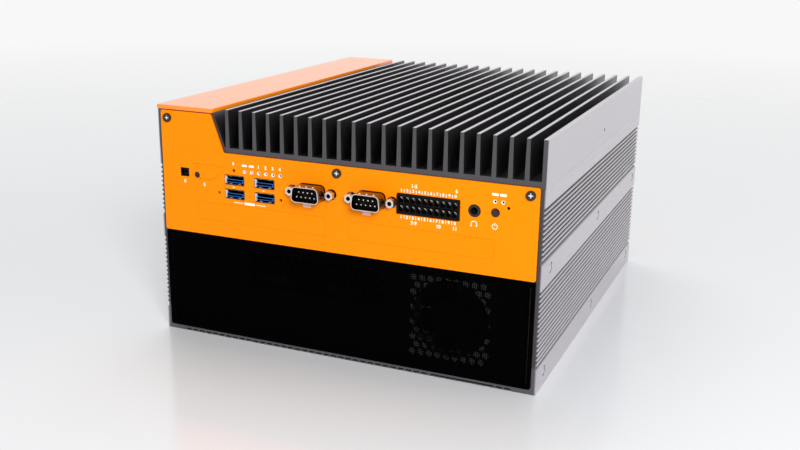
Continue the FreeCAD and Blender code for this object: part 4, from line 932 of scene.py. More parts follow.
def light_places():
    return [(LIGHT_FIRST + i * LIGHT_PITCH, LIGHT_HIGH) for i in range(LIGHT_COUNT)]


def box_outline(node, spread=0.0, radius=0.0):
    """Outline of a solid's box seen from the front."""
    left, right, bottom, top = edges(node, spread)
    return rounded((left + right) / 2, (bottom + top) / 2, right - left, top - bottom, radius)


def rear_block(node, level, coat):
    """The part of a solid behind a level, as a box with soft edges."""
    lowest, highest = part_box(node)
    return painted(block("rear", (lowest.x, level, lowest.z), highest, 0.2 * MM), coat)


class COMPUTER_OT_front_panel(bpy.types.Operator):
    """Front panel with an opening for every socket, its blank covers and the card cover"""
    bl_idname = "computer.front_panel"
    bl_label = "Front panel"

    def execute(self, context):
        case = context.scene.computer_case
        sockets = context.scene.computer_sockets
        sound = middle("sound_socket")
        power = middle("power_button")
        lights = (*light_places(), *status_places())
        outlines = [
            panel_rim(),
            *data_openings("front"),
            *[plug_outline(node, SERIAL_PLAY) for node in SERIALS],
            *[circle(x, z, JACK_HOLE) for x, z in jack_places()],
            rounded(TERMINAL_X, TERMINAL_MIDDLE, TERMINAL_WIDE + TERMINAL_PLAY,
                    TERMINAL_TALL + TERMINAL_PLAY, 0.3 * MM),
            rounded(*REMOTE_PLACE, *REMOTE_OPENING),
            card_outline(CARD_PLAY),
            circle(sound.x, SOUND_HIGH, SOUND_HOLE, 40),
            circle(power.x, power.z, POWER_HOLE, 32),
            circle(*RESET_HOLE, RESET_RADIUS, 20),
            *[circle(x, z, LOCK_RADIUS, 20) for x, z in LOCK_HOLES],
            *[circle(x, z, sockets.light + LIGHT_PLAY, 24) for x, z in lights],
        ]
        panel = plate("front_panel_sheet", outlines, FACE, PANEL_BACK, case.edge)
        keep(panel, "front_panel_sheet", "orange_paint", stands_for=["front_panel"])

        wide = BLANK_SPAN[1] - BLANK_SPAN[0]
        tall = BLANK_LEVELS[1] - BLANK_LEVELS[0]
        up = sum(BLANK_LEVELS) / 2
        line = 2 * case.blank_line
        lines = []
        for side in (-1, 1):
            across = side * sum(BLANK_SPAN) / 2
            outline = plate("line", [
                rounded(across, up, wide, tall, 1.6 * MM),
                rounded(across, up, wide - line, tall - line, 1.4 * MM)],
                FACE - 0.015 * MM, FACE + 0.01 * MM)
            lines.append(painted(outline, "score_line"))
        keep(lines, "blank_outlines")

        cover = plate("card_cover_plate", [
            card_outline(0.0), circle(*CARD_SCREW, 1.9 * MM, 28)], FACE, PANEL_BACK,
            0.12 * MM)
        keep(cover, "card_cover_plate", "orange_paint", stands_for=["card_cover"])
        return {"FINISHED"}


class COMPUTER_OT_rear_panel(bpy.types.Operator):
    """Rear panel with the openings of its sockets"""
    bl_idname = "computer.rear_panel"
    bl_label = "Rear panel"

    def execute(self, context):
        case = context.scene.computer_case
        outlines = [
            panel_rim(),
            box_outline("lan_ports_left", LAN_PLAY, 0.3 * MM),
            box_outline("lan_ports_right", LAN_PLAY, 0.3 * MM),
            *[rounded(x, VIDEO_HIGH, *VIDEO_OPENING) for x in VIDEO_PLACES],
            rounded(middle("power_inlet").x, INLET_HIGH, *INLET_OPENING),
            *data_openings("rear"),
        ]
        panel = plate("rear_panel_sheet", outlines, REAR_FACE - PANEL_THICK, REAR_FACE,
                      case.edge)
        keep(panel, "rear_panel_sheet", "orange_paint", stands_for=["rear_panel"])
        return {"FINISHED"}


class COMPUTER_OT_top_cover(bpy.types.Operator):
    """Orange bar on the shelf, with softened edges and two screw sinks"""
    bl_idname = "computer.top_cover"
    bl_label = "Top cover"

    def execute(self, context):
        lowest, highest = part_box("top_cover")
        spot = (lowest + highest) / 2
        span = highest - lowest
        rim = rounded(spot.x, spot.y, span.x, span.y, 0.8 * MM)
        sinks = [circle(x, y, COVER_SINK, 32) for x, y in COVER_SCREWS]
        bar = plate("top_cover_bar", [rim, *sinks], lowest.z, highest.z, 0.3 * MM, "plan")
        keep(bar, "top_cover_bar", "cover_paint", stands_for=["top_cover"])
        return {"FINISHED"}


SOLID_FINISHES = {
    "heatsink_metal": ("heatsink",),
    "extrusion": ("upper_left_wall", "upper_right_wall", "lower_left_wall",
                  "lower_right_wall"),
    "tray_paint": ("bottom_tray", "deck"),
    # The fan frame's lighter grey is painted light
    "fan_grey": ("fan_frame",),
    "fan_black": ("fan_rotor",),
    "vent_black": ("rear_lower_plate",),
    "zinc": ("slot_covers", "coin_cell"),
    "gold": ("board_posts",),
    "milled": ("processor", "heat_spreader"),
    "circuit_board": ("mainboard", "memory_modules", "storage_card", "riser_card"),
    "chip": ("memory_sockets", "storage_socket", "riser_slots", "power_switch",
             "reset_switch", "card_socket"),
    "black_plastic": ("reset_plunger", "serial_insert_left", "serial_insert_right",
                      "power_inlet"),
    "nickel": ("usb_stack_rear", "lan_ports_left", "lan_ports_right", "video_ports"),
    "blue_plastic": ("usb_tongues",),
}


class COMPUTER_OT_solid_finishes(bpy.types.Operator):
    """Finishes of the solids that are shown as they are"""
    bl_idname = "computer.solid_finishes"
    bl_label = "Solid finishes"

    def execute(self, context):
        for coat, nodes in SOLID_FINISHES.items():
            for node in nodes:
                painted(NODES[node], coat)
        return {"FINISHED"}


# Chassis front

def wire(name, long, thick, along):
    """One straight wire as a slim bar with six sides."""
    shape = bmesh.new()
    ends = []
    for end in (-long / 2, long / 2):
        ring = []
        for i in range(6):
            out = thick / 2 * math.cos(math.radians(60 * i))
            side = thick / 2 * math.sin(math.radians(60 * i))
            spot = (end, out, side) if along == "x" else (side, out, end)
            ring.append(shape.verts.new(spot))
        ends.append(ring)
    for i in range(6):
        j = (i + 1) % 6
        shape.faces.new((ends[0][i], ends[0][j], ends[1][j], ends[1][i]))
    shape.faces.new(ends[0])
    shape.faces.new(ends[1])
    return from_bmesh(shape, name)


class COMPUTER_OT_dust_filter(bpy.types.Operator):
    """Dust filter: a thin frame that holds a fine wire mesh"""
    bl_idname = "computer.dust_filter"
    bl_label = "Dust filter"

    def execute(self, context):
        sizes = context.scene.computer_filter
        lowest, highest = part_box("dust_filter")
        spot = (lowest + highest) / 2
        wide = highest.x - lowest.x
        tall = highest.z - lowest.z
        rim = plate("rim", [box_outline("dust_filter", 0.0, 1.0 * MM),
                            box_outline("dust_filter", -sizes.border, 1.5 * MM)],
                    lowest.y, highest.y, 0.12 * MM)
        painted(rim, "filter_black")
        inner_wide = wide - 1.2 * sizes.border
        inner_tall = tall - 1.2 * sizes.border
        pitch = sizes.wire_pitch
        level = spot.y
        columns = int(inner_wide / pitch)
        rows = int(inner_tall / pitch)
        upright = in_rows("upright_wires", wire("wire", inner_tall, sizes.wire_thick, "z"),
                          (spot.x - (columns - 1) * pitch / 2, level, spot.z),
                          (pitch, 0, 0), columns, "filter_black")
        level_wires = in_rows("level_wires", wire("wire", inner_wide, sizes.wire_thick, "x"),
                              (spot.x, level + 0.1 * MM, spot.z - (rows - 1) * pitch / 2),
                              (0, 0, pitch), rows, "filter_black")
        keep([rim, upright, level_wires], "filter_mesh", stands_for=["dust_filter"])
        return {"FINISHED"}


def vent_cells(left, bottom, right, top, pitch, rib):
    """Six-sided holes in offset rows inside a rectangle."""
    rise = pitch * math.sqrt(3) / 2
    rows = int((top - bottom - pitch) // rise) + 1
    columns = int((right - left - pitch) // pitch)
    first_z = (bottom + top - (rows - 1) * rise) / 2
    first_x = (left + right - (columns - 0.5) * pitch) / 2
    return [hexagon(first_x + (j + 0.5 * (i % 2)) * pitch, first_z + i * rise, pitch - rib)
            for i in range(rows) for j in range(columns)]


def outside(cell, patches):
    """True if a cell's middle is in none of the plain patches."""
    x = sum(point[0] for point in cell) / len(cell)
    z = sum(point[1] for point in cell) / len(cell)
    return not any(x0 < x < x1 and z0 < z < z1 for x0, z0, x1, z1 in patches)


class COMPUTER_OT_vent_plate(bpy.types.Operator):
    """Sheet behind the filter, with a honeycomb at the left and one before the fan"""
    bl_idname = "computer.vent_plate"
    bl_label = "Vent plate"

    def execute(self, context):
        sizes = context.scene.computer_filter
        lowest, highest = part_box("inner_front_plate")
        fan = middle("fan_frame")
        cells = vent_cells(*VENT_LEFT, sizes.cell_pitch, sizes.cell_rib)
        cells = [cell for cell in cells if outside(cell, PLAIN_PATCHES)]
        cells += vent_cells(fan.x - FAN_VENT[0] / 2, fan.z - FAN_VENT[1] / 2,
                            fan.x + FAN_VENT[0] / 2, fan.z + FAN_VENT[1] / 2,
                            sizes.cell_pitch, sizes.cell_rib)
        rim = box_outline("inner_front_plate")
        sheet = plate("honeycomb_sheet", [rim, *cells], lowest.y, highest.y)
        keep(sheet, "honeycomb_sheet", "vent_black", stands_for=["inner_front_plate"])
        return {"FINISHED"}


# Screws

def cross_outline(reach, web):
    corners = ((-1, -2), (1, -2), (1, -1), (2, -1), (2, 1), (1, 1),
               (1, 2), (-1, 2), (-1, 1), (-2, 1), (-2, -1), (-1, -1))

    def step(value):
        return math.copysign(reach if abs(value) == 2 else web, value)

    return [(step(x), step(z)) for x, z in corners]


def screw_part(radius, rise, recess):
    """A screw head that faces along -Y, its base at level 0, with a crossed recess."""
    top = plate("top", [circle(0, 0, radius, 32), cross_outline(recess, recess * 0.28)],
                -rise, -rise * 0.35, rise * 0.3)
    base = turned("base", [(0.0, 0.0), (radius, 0.0), (radius, -rise * 0.4),
                           (0.0, -rise * 0.4)], 32)
    return merge([top, base], "screw")


def recess_part(recess, level):
    """A thin cross that lines the bottom of a recess, which the panel screws colour pale as a painted
    highlight.
    """
    return plate("recess", [cross_outline(recess * 0.98, recess * 0.27)], level,
                 level + 0.05 * MM)


class COMPUTER_OT_screws(bpy.types.Operator):
    """All the screws: panels, side walls, top cover, blanking strips and card cover"""
    bl_idname = "computer.screws"
    bl_label = "Screws"

    def execute(self, context):
        sizes = context.scene.computer_screws
        rise = sizes.rise

        def heads(places, coat, turn, high_share=1.0):
            part = screw_part(sizes.head, rise * high_share, sizes.recess)
            return on_places("heads", part, places, coat, turn)

        parts = []
        for end, turn in ((FACE, TO_FRONT), (REAR_FACE, TO_REAR)):
            places = [(x, end, z) for x, z in PANEL_SCREWS]
            parts.append(heads(places, "black_oxide", turn))
            # Painted highlight: a pale cross in each black screw's recess stands in for the glint there
            parts.append(on_places("recesses", recess_part(sizes.recess, -rise * 0.42),
                                   places, "pale_inside", turn))
        keep(parts, "panel_screw_heads", stands_for=["panel_screws"])

        parts = []
        for side in (-1, 1):
            face = side * (high("bottom_tray").x - sizes.sink)
            places = [(face - side * rise * 0.8, start + step * SIDE_SCREW_PITCH, level)
                      for start, level in SIDE_SCREW_ROWS for step in (-1, 0, 1)]
            parts.append(heads(places, "zinc", (0.0, 0.0, side * math.pi / 2), 0.8))
        keep(parts, "side_screw_heads", stands_for=["side_screws"])

        top = high("top_cover").z - 0.1 * MM
        places = [(x, y, top - rise * 0.7) for x, y in COVER_SCREWS]
        keep(heads(places, "zinc", UPWARDS, 0.7), "cover_screw_heads",
             stands_for=["cover_screws"])

        places = [(x, high("slot_covers").y, z) for x, z in STRIP_SCREWS]
        keep(heads(places, "zinc", TO_REAR), "strip_screw_heads",
             stands_for=["slot_screws"])

        places = [(CARD_SCREW[0], FACE + 0.95 * MM, CARD_SCREW[1])]
        part = screw_part(1.75 * MM, 0.8 * MM, 1.0 * MM)
        keep(on_places("card_head", part, places, "black_oxide"), "card_screw_head",
             stands_for=["card_cover_screw"])
        return {"FINISHED"}


# Front sockets

def data_socket_parts(x, z):
    """One data socket: shell darkened as painted shade, a pale strip on its left inner wall as a painted
    highlight, a black back wall partly painted shade, spring fingers, tongue and contacts.
    """
    wide, tall = DATA_MOUTH
    skin = 0.3 * MM
    lip = FACE + 0.1 * MM
    back = lip + DATA_DEEP
    left, right = x - wide / 2, x + wide / 2
    low_z, high_z = z - tall / 2, z + tall / 2
    shell = plate("shell", [rounded(x, z, wide + 2 * skin, tall + 2 * skin, 0.5 * MM),
                            rounded(x, z, wide, tall, 0.35 * MM)], lip, back, 0.08 * MM)
    # Painted highlight: a pale strip on the left inner wall stands in for the light on the shell's metal
    # there
    cheek = block("cheek", (left - 0.05 * MM, lip + 0.1 * MM, low_z + 0.1 * MM),
                  (left + 0.12 * MM, lip + 2.6 * MM, high_z - 0.1 * MM))
    # Painted shade: a black sheet at the back of the mouth, partly the socket's own dark back and partly the
    # shade deep inside
    inside = block("inside", (left, back - 0.8 * MM, low_z), (right, back, high_z))
    parts = [painted(shell, "tube_metal"), painted(cheek, "pale_inside"),
             painted(inside, "deep_black")]
    half = Vector(in_mm(1.0, 2.05, 0.14))
    for side in (-1, 1):
        for up in (-1, 1):
            spot = Vector((x + side * wide * 0.24, lip + 2.95 * MM,
                           z + up * (tall / 2 - 0.18 * MM)))
            finger = block("finger", spot - half, spot + half, 0.08 * MM)
            parts.append(painted(finger, "nickel"))
    tongue_z = z - 0.5 * MM
    tongue = block("tongue", (x - 5.4 * MM, FACE + 0.6 * MM, tongue_z - 0.9 * MM),
                   (x + 5.4 * MM, back, tongue_z + 0.9 * MM), 0.2 * MM)
    parts.append(painted(tongue, "blue_plastic"))
    for i in range(4):
        spot_x = x + (i - 1.5) * 2.2 * MM
        contact = block("contact", (spot_x - 0.5 * MM, FACE + 1.4 * MM, tongue_z - 1.0 * MM),
                        (spot_x + 0.5 * MM, FACE + 8.0 * MM, tongue_z - 0.85 * MM))
        parts.append(painted(contact, "gold"))
    return parts


class COMPUTER_OT_data_sockets(bpy.types.Operator):
    """The two stacks of data sockets in the front panel"""
    bl_idname = "computer.data_sockets"
    bl_label = "Data sockets"

    def execute(self, context):
        for side in ("left", "right"):
            node = f"usb_stack_{side}"
            parts = []
            for level in DATA_LEVELS:
                parts += data_socket_parts(middle(node).x, level)
            parts.append(rear_block(node, FACE + 13.0 * MM, "nickel"))
            keep(parts, f"data_sockets_{side}", stands_for=[node])
        return {"FINISHED"}


class COMPUTER_OT_serial_sockets(bpy.types.Operator):
    """Serial sockets: metal tubes with dimples, cores with pins, and their jackscrews"""
    bl_idname = "computer.serial_sockets"
    bl_label = "Serial sockets"

    def execute(self, context):
        sizes = context.scene.computer_sockets
        for node in SERIALS:
            side = node.rsplit("_", 1)[1]
            x = middle(node).x
            lip = low(node).y
            bore = plug_outline(node, 0, 7)
            tube = plate("tube", [plug_outline(node, sizes.skin, 7), bore],
                         lip + 0.2 * MM, PANEL_BACK)
            rim = plate("rim", [plug_outline(node, sizes.skin + 0.04 * MM, 7),
                                plug_outline(node, -0.04 * MM, 7)],
                        lip, lip + 0.35 * MM, 0.12 * MM)
            flange = plate("flange", [
                rounded(x, SERIAL_HIGH, 30.8 * MM, 12.5 * MM, 1.5 * MM), bore],
                PANEL_BACK, PANEL_BACK + 0.8 * MM)
            # Painted shade: the tube and the flange behind the panel are darker than the rim's plating, for
            # the tube's dark reflection and the shade in the gap round it
            parts = [painted(tube, "tube_metal"), painted(rim, "nickel"),
                     painted(flange, "tube_metal")]
            dimple = turned("dimple", in_mm((0.0, -0.28), (0.35, -0.2), (0.55, 0.0),
                                            (0.0, 0.1)), 16)
            roof = SERIAL_HIGH + SERIAL_HALVES[2] + sizes.skin
            spots = [(x + step * 4.2 * MM, lip + 2.4 * MM, roof) for step in (-1, 0, 1)]
            # Painted highlight: the dimples are pale, for the glints on them
            parts.append(on_places("dimples", dimple, spots, "pale_inside", UPWARDS))
            keep(parts, f"serial_tube_{side}", stands_for=[node])

        pin = turned("pin", [(0.0, 0.0), (sizes.pin, 0.0), (sizes.pin, -4.0 * MM),
                             (sizes.pin * 0.75, -4.4 * MM), (0.0, -4.6 * MM)], 16)
        root = low("serial_insert_left").y
        spots = []
        for node in SERIALS:
            for count, level in ((4, PIN_ROW), (5, -PIN_ROW)):
                spots += [(middle(node).x + (i - (count - 1) / 2) * PIN_PITCH, root,
                           SERIAL_HIGH + level) for i in range(count)]
        keep(on_places("serial_pin_rows", pin, spots, "pin_metal"), "serial_pin_rows",
             stands_for=["serial_pins"])

        post = plate("post", [hexagon(0, 0, 4.8 * MM), circle(0, 0, 1.2 * MM, 24)], -JACK_LONG,
                     0.0, 0.25 * MM)
        bottom = turned("bottom", in_mm((0.0, -0.5), (1.3, -0.5), (1.3, 0.0), (0.0, 0.0)), 24)
        thread = [turned("thread", [
            (radius, -JACK_LONG + (turn + part) * THREAD_PITCH)
            for radius, part in ((1.22 * MM, 0), (1.02 * MM, 0.25), (1.22 * MM, 0.5))], 24)
            for turn in range(1, 7)]
        spots = [(x, FACE, z) for x, z in jack_places()]
        posts = on_places("posts", post, spots, "nickel")
        # Painted shade: the threaded holes' bottoms and threads are black, for the shade down the holes
        bores = on_places("bores", merge([bottom, *thread], "bore"), spots, "deep_black")
        keep([posts, bores], "jackscrew_posts", stands_for=["jackscrews"])
        return {"FINISHED"}


class COMPUTER_OT_terminal(bpy.types.Operator):
    """Twenty-way wire terminal with square sockets and spring contacts"""
    bl_idname = "computer.terminal"
    bl_label = "Wire terminal"

    def execute(self, context):
        lowest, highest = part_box("terminal_block")
        first_z = TERMINAL_MIDDLE - TERMINAL_ROW / 2
        mouths = [rounded(TERMINAL_FIRST_X + i * TERMINAL_PITCH, first_z + j * TERMINAL_ROW,
                          2.6 * MM, 3.4 * MM, 0.25 * MM, 2)
                  for i in range(TERMINAL_COLUMNS) for j in (0, 1)]
        deep = lowest.y + 8.0 * MM
        face = rounded(TERMINAL_X, TERMINAL_MIDDLE, TERMINAL_WIDE, TERMINAL_TALL, 0.4 * MM)
        front = plate("front", [face, *mouths], lowest.y, deep, 0.15 * MM)
        rail = block("rail", (lowest.x + 0.6 * MM, lowest.y, TERMINAL_MIDDLE - 0.35 * MM),
                     (highest.x - 0.6 * MM, lowest.y + 0.5 * MM,
                      TERMINAL_MIDDLE + 0.35 * MM), 0.1 * MM)
        parts = [painted(front, "black_plastic"), painted(rail, "black_plastic"),
                 rear_block("terminal_block", deep, "black_plastic")]
        keep(parts, "terminal_housing", stands_for=["terminal_block"])

        # The springs are pale: partly the contacts' own bright metal, partly painted highlight
        spring = merge([
            block("blade", in_mm(-0.5, 0.0, -0.5), in_mm(0.5, 4.6, 0.5), 0.15 * MM),
            block("lip", in_mm(-0.3, -2.2, 1.0), in_mm(0.3, 2.0, 1.5), 0.15 * MM)], "spring")
        springs = in_rows("springs", spring, (TERMINAL_FIRST_X, deep - 5.0 * MM, first_z),
                          (TERMINAL_PITCH, 0, 0), TERMINAL_COLUMNS, "pale_inside",
                          (0, 0, TERMINAL_ROW), 2)
        keep(springs, "terminal_springs", stands_for=["terminal_contacts"])
        return {"FINISHED"}


class COMPUTER_OT_small_sockets(bpy.types.Operator):
    """Headphone socket and the square remote-switch socket"""
    bl_idname = "computer.small_sockets"
    bl_label = "Small sockets"

    def execute(self, context):
        x = middle("sound_socket").x
        face = low("sound_socket").y
        back = high("sound_socket").y
        ring = turned("ring", [
            *profile(face, (1.8, 6.0), (1.8, 0.5), (2.1, 0.0), (2.9, 0.0), (3.35, 0.3)),
            *profile(PANEL_BACK, (3.35, 0.0), (2.4, 0.0)),
            *profile(face, (2.4, 6.0), (1.8, 6.0))], 48, x, SOUND_HIGH)
        contact = turned("contact", profile(face, (1.85, 4.0), (1.62, 4.2), (1.62, 6.0),
                                            (1.85, 6.2)), 32, x, SOUND_HIGH)
        lowest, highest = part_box("sound_socket")
        # The socket's bore is black, darkened further as painted shade
        tube = turned("tube", [
            *profile(face, (1.9, 5.0), (1.9, 13.8), (0.0, 13.8)),
            *profile(back, (0.0, 0.0), (4.6, 0.0)),
            *profile(PANEL_BACK, (4.6, 0.1), (2.0, 0.1))], 32, x, SOUND_HIGH)
        foot = block("foot", (lowest.x, FACE + 4.0 * MM, lowest.z),
                     (highest.x, back, SOUND_HIGH - 4.0 * MM), 0.2 * MM)
        parts = [painted(ring, "gloss_black"), painted(contact, "nickel"),
                 painted(tube, "deep_black"), painted(foot, "black_plastic")]
        keep(parts, "headphone_socket", stands_for=["sound_socket"])

        x, z = REMOTE_PLACE
        lip = low("remote_socket").y
        root = lip + 6.0 * MM
        shell = plate("shell", [rounded(x, z, 5.8 * MM, 5.1 * MM, 0.3 * MM),
                                rounded(x, z, 4.6 * MM, 3.9 * MM, 0.2 * MM)],
                      lip, root, 0.1 * MM)
        parts = [painted(shell, "black_plastic"),
                 rear_block("remote_socket", root, "black_plastic")]
        keep(parts, "remote_housing", stands_for=["remote_socket"])
        pin = block("pin", in_mm(-0.3, -5.0, -0.3), in_mm(0.3, 0.0, 0.3), 0.12 * MM)
        spots = [(x + i * MM, root, z + j * MM) for i in (-1, 1) for j in (-1, 1)]
        keep(on_places("remote_pin_set", pin, spots, "black_oxide"), "remote_pin_set",
             stands_for=["remote_pins"])
        return {"FINISHED"}


class COMPUTER_OT_power_button(bpy.types.Operator):
    """Round power button with a slightly hollow face, and a dark red ring in the gap round it as painted
    light and shade of the hole's edge
    """
    bl_idname = "computer.power_button"
    bl_label = "Power button"

    def execute(self, context):
        lowest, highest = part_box("power_button")
        spot = middle("power_button")
        radius = (highest.x - lowest.x) / 2
        cap = turned("cap", [
            (0.0, lowest.y + 0.25 * MM), (radius * 0.6, lowest.y + 0.12 * MM),
            (radius * 0.85, lowest.y), (radius, lowest.y + 0.3 * MM),
            (radius, lowest.y + 4.8 * MM), (1.2 * MM, lowest.y + 4.8 * MM),
            (1.2 * MM, highest.y), (0.0, highest.y)], 40, spot.x, spot.z)
        keep(cap, "power_cap", "button_plastic", body="power_button",
             stands_for=["power_button"])
        # Painted light and shade: a dark red ring lines the gap round the button, for the lit and shaded
        # edge of the orange hole
        collar = turned("collar", [
            *profile(FACE, (2.18, 0.35), (2.46, 0.35)),
            *profile(PANEL_BACK, (2.46, 0.0), (2.18, 0.0)),
            *profile(FACE, (2.18, 0.35))], 40, spot.x, spot.z)
        keep(collar, "power_collar", "red_plastic")
        return {"FINISHED"}


class COMPUTER_OT_lights(bpy.types.Operator):
    """Light pipes of the front panel, each with a small disc behind its face"""
    bl_idname = "computer.lights"
    bl_label = "Lights"

    def execute(self, context):
        radius = context.scene.computer_sockets.light
        for node, places, grey in (("port_lights", light_places(), GREY_LIGHTS),
                                   ("status_lights", status_places(), 0)):
            spots = [(x, 0, z) for x, z in places]
            pipe = turned("pipe", [
                (radius * 0.5, FACE + 1.5 * MM), (radius * 0.58, FACE + 0.4 * MM),
                (radius * 0.85, FACE), (radius, FACE + 0.15 * MM),
                (radius, FACE + 2.4 * MM), (0.0, FACE + 2.4 * MM)], 24)
            parts = [on_places("pipes", pipe, spots, "light_pipe")]
            # Black discs behind the other pipes darken their centres, partly as painted shade
            for coat, deep, group in (("lamp_grey", 0.5 * MM, spots[:grey]),
                                      ("deep_black", 1.0 * MM, spots[grey:])):
                if group:
                    near = FACE + deep
                    far = near + 0.4 * MM
                    disc = turned("disc", [(0.0, near), (radius * 0.56, near),
                                           (radius * 0.56, far), (0.0, far)], 16)
                    parts.append(on_places("discs", disc, group, coat))
            parts.append(rear_block(node, PANEL_BACK, "light_pipe"))
            keep(parts, f"{node}_pipes", stands_for=[node])
        return {"FINISHED"}


# Printed marks

def ring_mark(x, z, radius, line, start, sweep):
    """Outline of a printed arc."""
    steps = 24
    points = []
    for side, reach in ((1, radius), (-1, radius - line)):
        turns = range(steps + 1) if side > 0 else range(steps, -1, -1)
        points += [(x + reach * math.cos(start + sweep * i / steps),
                    z + reach * math.sin(start + sweep * i / steps)) for i in turns]
    return points


def mark(outline, coat="printed_ink"):
    """One printed shape on the front panel."""
    return painted(plate("mark", [outline], FACE - INK_PROUD, FACE + INK_LEVEL), coat)


def mark_bar(x, z, size, coat="printed_ink"):
    """A printed bar. Its size is its width, its height and, where it is round, its corner."""
    return mark(rounded(x, z, *size), coat)


def power_sign(x, z, radius):
    """A broken ring with an upright bar in its gap."""
    gap = math.radians(50)
    start = math.radians(90) + gap / 2
    return [mark(ring_mark(x, z, radius, 0.35 * MM, start, math.tau - gap)),
            mark_bar(x, z + radius * 0.75, (0.35 * MM, radius * 1.1))]


def headphone_sign(x, z, radius):
    """A band over two ear pads."""
    pads = [mark_bar(x + side * radius * 0.85, z - radius * 0.45, in_mm(0.7, 1.1, 0.2))
            for side in (-1, 1)]
    band = ring_mark(x, z, radius, 0.4 * MM, math.radians(-20), math.radians(220))
    return [mark(band), *pads]


def light_marks():
    """Bars and numbers above the lights."""
    lights = light_places()
    return [*[mark_bar(x, z + LIGHT_MARK_RISE, LIGHT_BAR) for x, z in lights[:GREY_LIGHTS]],
            *[words(str(i), x, z + LIGHT_MARK_RISE, 1.9 * MM)
              for i, (x, z) in enumerate(lights[GREY_LIGHTS:], 1)],
            *[mark_bar(x, z + STATUS_MARK_RISE, STATUS_BAR) for x, z in status_places()]]


def terminal_marks():
    """Numbers, ticks and ranges above and below the wire terminal."""
    parts = []
    top = TERMINAL_MIDDLE + TERMINAL_TALL / 2
    bottom = TERMINAL_MIDDLE - TERMINAL_TALL / 2
    for i in range(TERMINAL_COLUMNS):
        x = TERMINAL_FIRST_X + i * TERMINAL_PITCH
        for z in (top + COLUMN_NUMBER_OUT, bottom - COLUMN_NUMBER_OUT):
            parts.append(words(str((i + 1) % 10), x, z, 1.7 * MM))
    for z in (top + COLUMN_TICK_OUT, bottom - COLUMN_TICK_OUT):
        tick = plate("tick", [rounded(0, 0, *COLUMN_TICK)], -INK_PROUD, INK_LEVEL)
        parts.append(in_rows("ticks", tick, (TERMINAL_FIRST_X + TERMINAL_PITCH / 2, FACE, z),
                             (TERMINAL_PITCH, 0, 0), TERMINAL_COLUMNS - 1, "printed_ink"))
    left = TERMINAL_X - TERMINAL_WIDE / 2
    for text, x, side in COLUMN_RANGES:
        edge = top if side > 0 else bottom
        parts.append(words(text, left + x * MM, edge + side * COLUMN_RANGE_OUT))
    return parts


def socket_marks():
    """Labels, bars and numbers beside the other sockets and buttons."""
    middle_x, up = DATA_MARK
    return [*[mark_bar(middle(node).x - 3.0 * MM, SERIAL_LABEL_HIGH, SERIAL_LABEL, "label_pink")
              for node in SERIALS],
            *[mark_bar(middle_x + side * DATA_LINE_OUT, up, DATA_LINE) for side in (-1, 1)],
            mark_bar(middle_x, up, DATA_BAR),
            *[mark_bar(middle(node).x - 0.5 * MM, STACK_TICK_HIGH, STACK_TICK)
              for node in ("usb_stack_left", "usb_stack_right")],
            words("0", REMOTE_PLACE[0], REMOTE_MARK_HIGH),
            words("5", *CARD_MARK),
            words("0", RESET_HOLE[0], RESET_MARK_HIGH, 1.8 * MM)]


class COMPUTER_OT_marks(bpy.types.Operator):
    """Plain numbers, ticks and signs printed beside the sockets"""
    bl_idname = "computer.marks"
    bl_label = "Printed marks"

    def execute(self, context):
        signs = [*power_sign(middle("power_button").x, SIGN_HIGH, 1.6 * MM),
                 *headphone_sign(middle("sound_socket").x, SIGN_HIGH, 1.8 * MM)]
        keep([*light_marks(), *terminal_marks(), *socket_marks(), *signs], "printed_marks")
        return {"FINISHED"}


# Rear sockets

class COMPUTER_OT_rear_details(bpy.types.Operator):
    """Contacts of the network sockets, and the rear panel's numbers"""
    bl_idname = "computer.rear_details"
    bl_label = "Rear details"

    def execute(self, context):
        face = high("lan_ports_left").y
        level = high("lan_ports_left").z - 3.0 * MM
        parts = []
        for x in LAN_MOUTHS:
            contact = block("contact", in_mm(-0.22, -9.0, -0.2), in_mm(0.22, -3.0, 0.2),
                            0.08 * MM)
            parts.append(in_rows("contacts", contact, (x - 3.57 * MM, face, level),
                                 (LAN_CONTACT_PITCH, 0, 0), LAN_CONTACTS, "gold"))
        keep(parts, "network_contacts")

        keep([words(str(i), x, up, towards_rear=True)
              for places, up in ((LAN_MOUTHS, LAN_MARK_HIGH), (VIDEO_PLACES, VIDEO_MARK_HIGH))
              for i, x in enumerate(places, 1)], "rear_marks")
        return {"FINISHED"}


# Studio

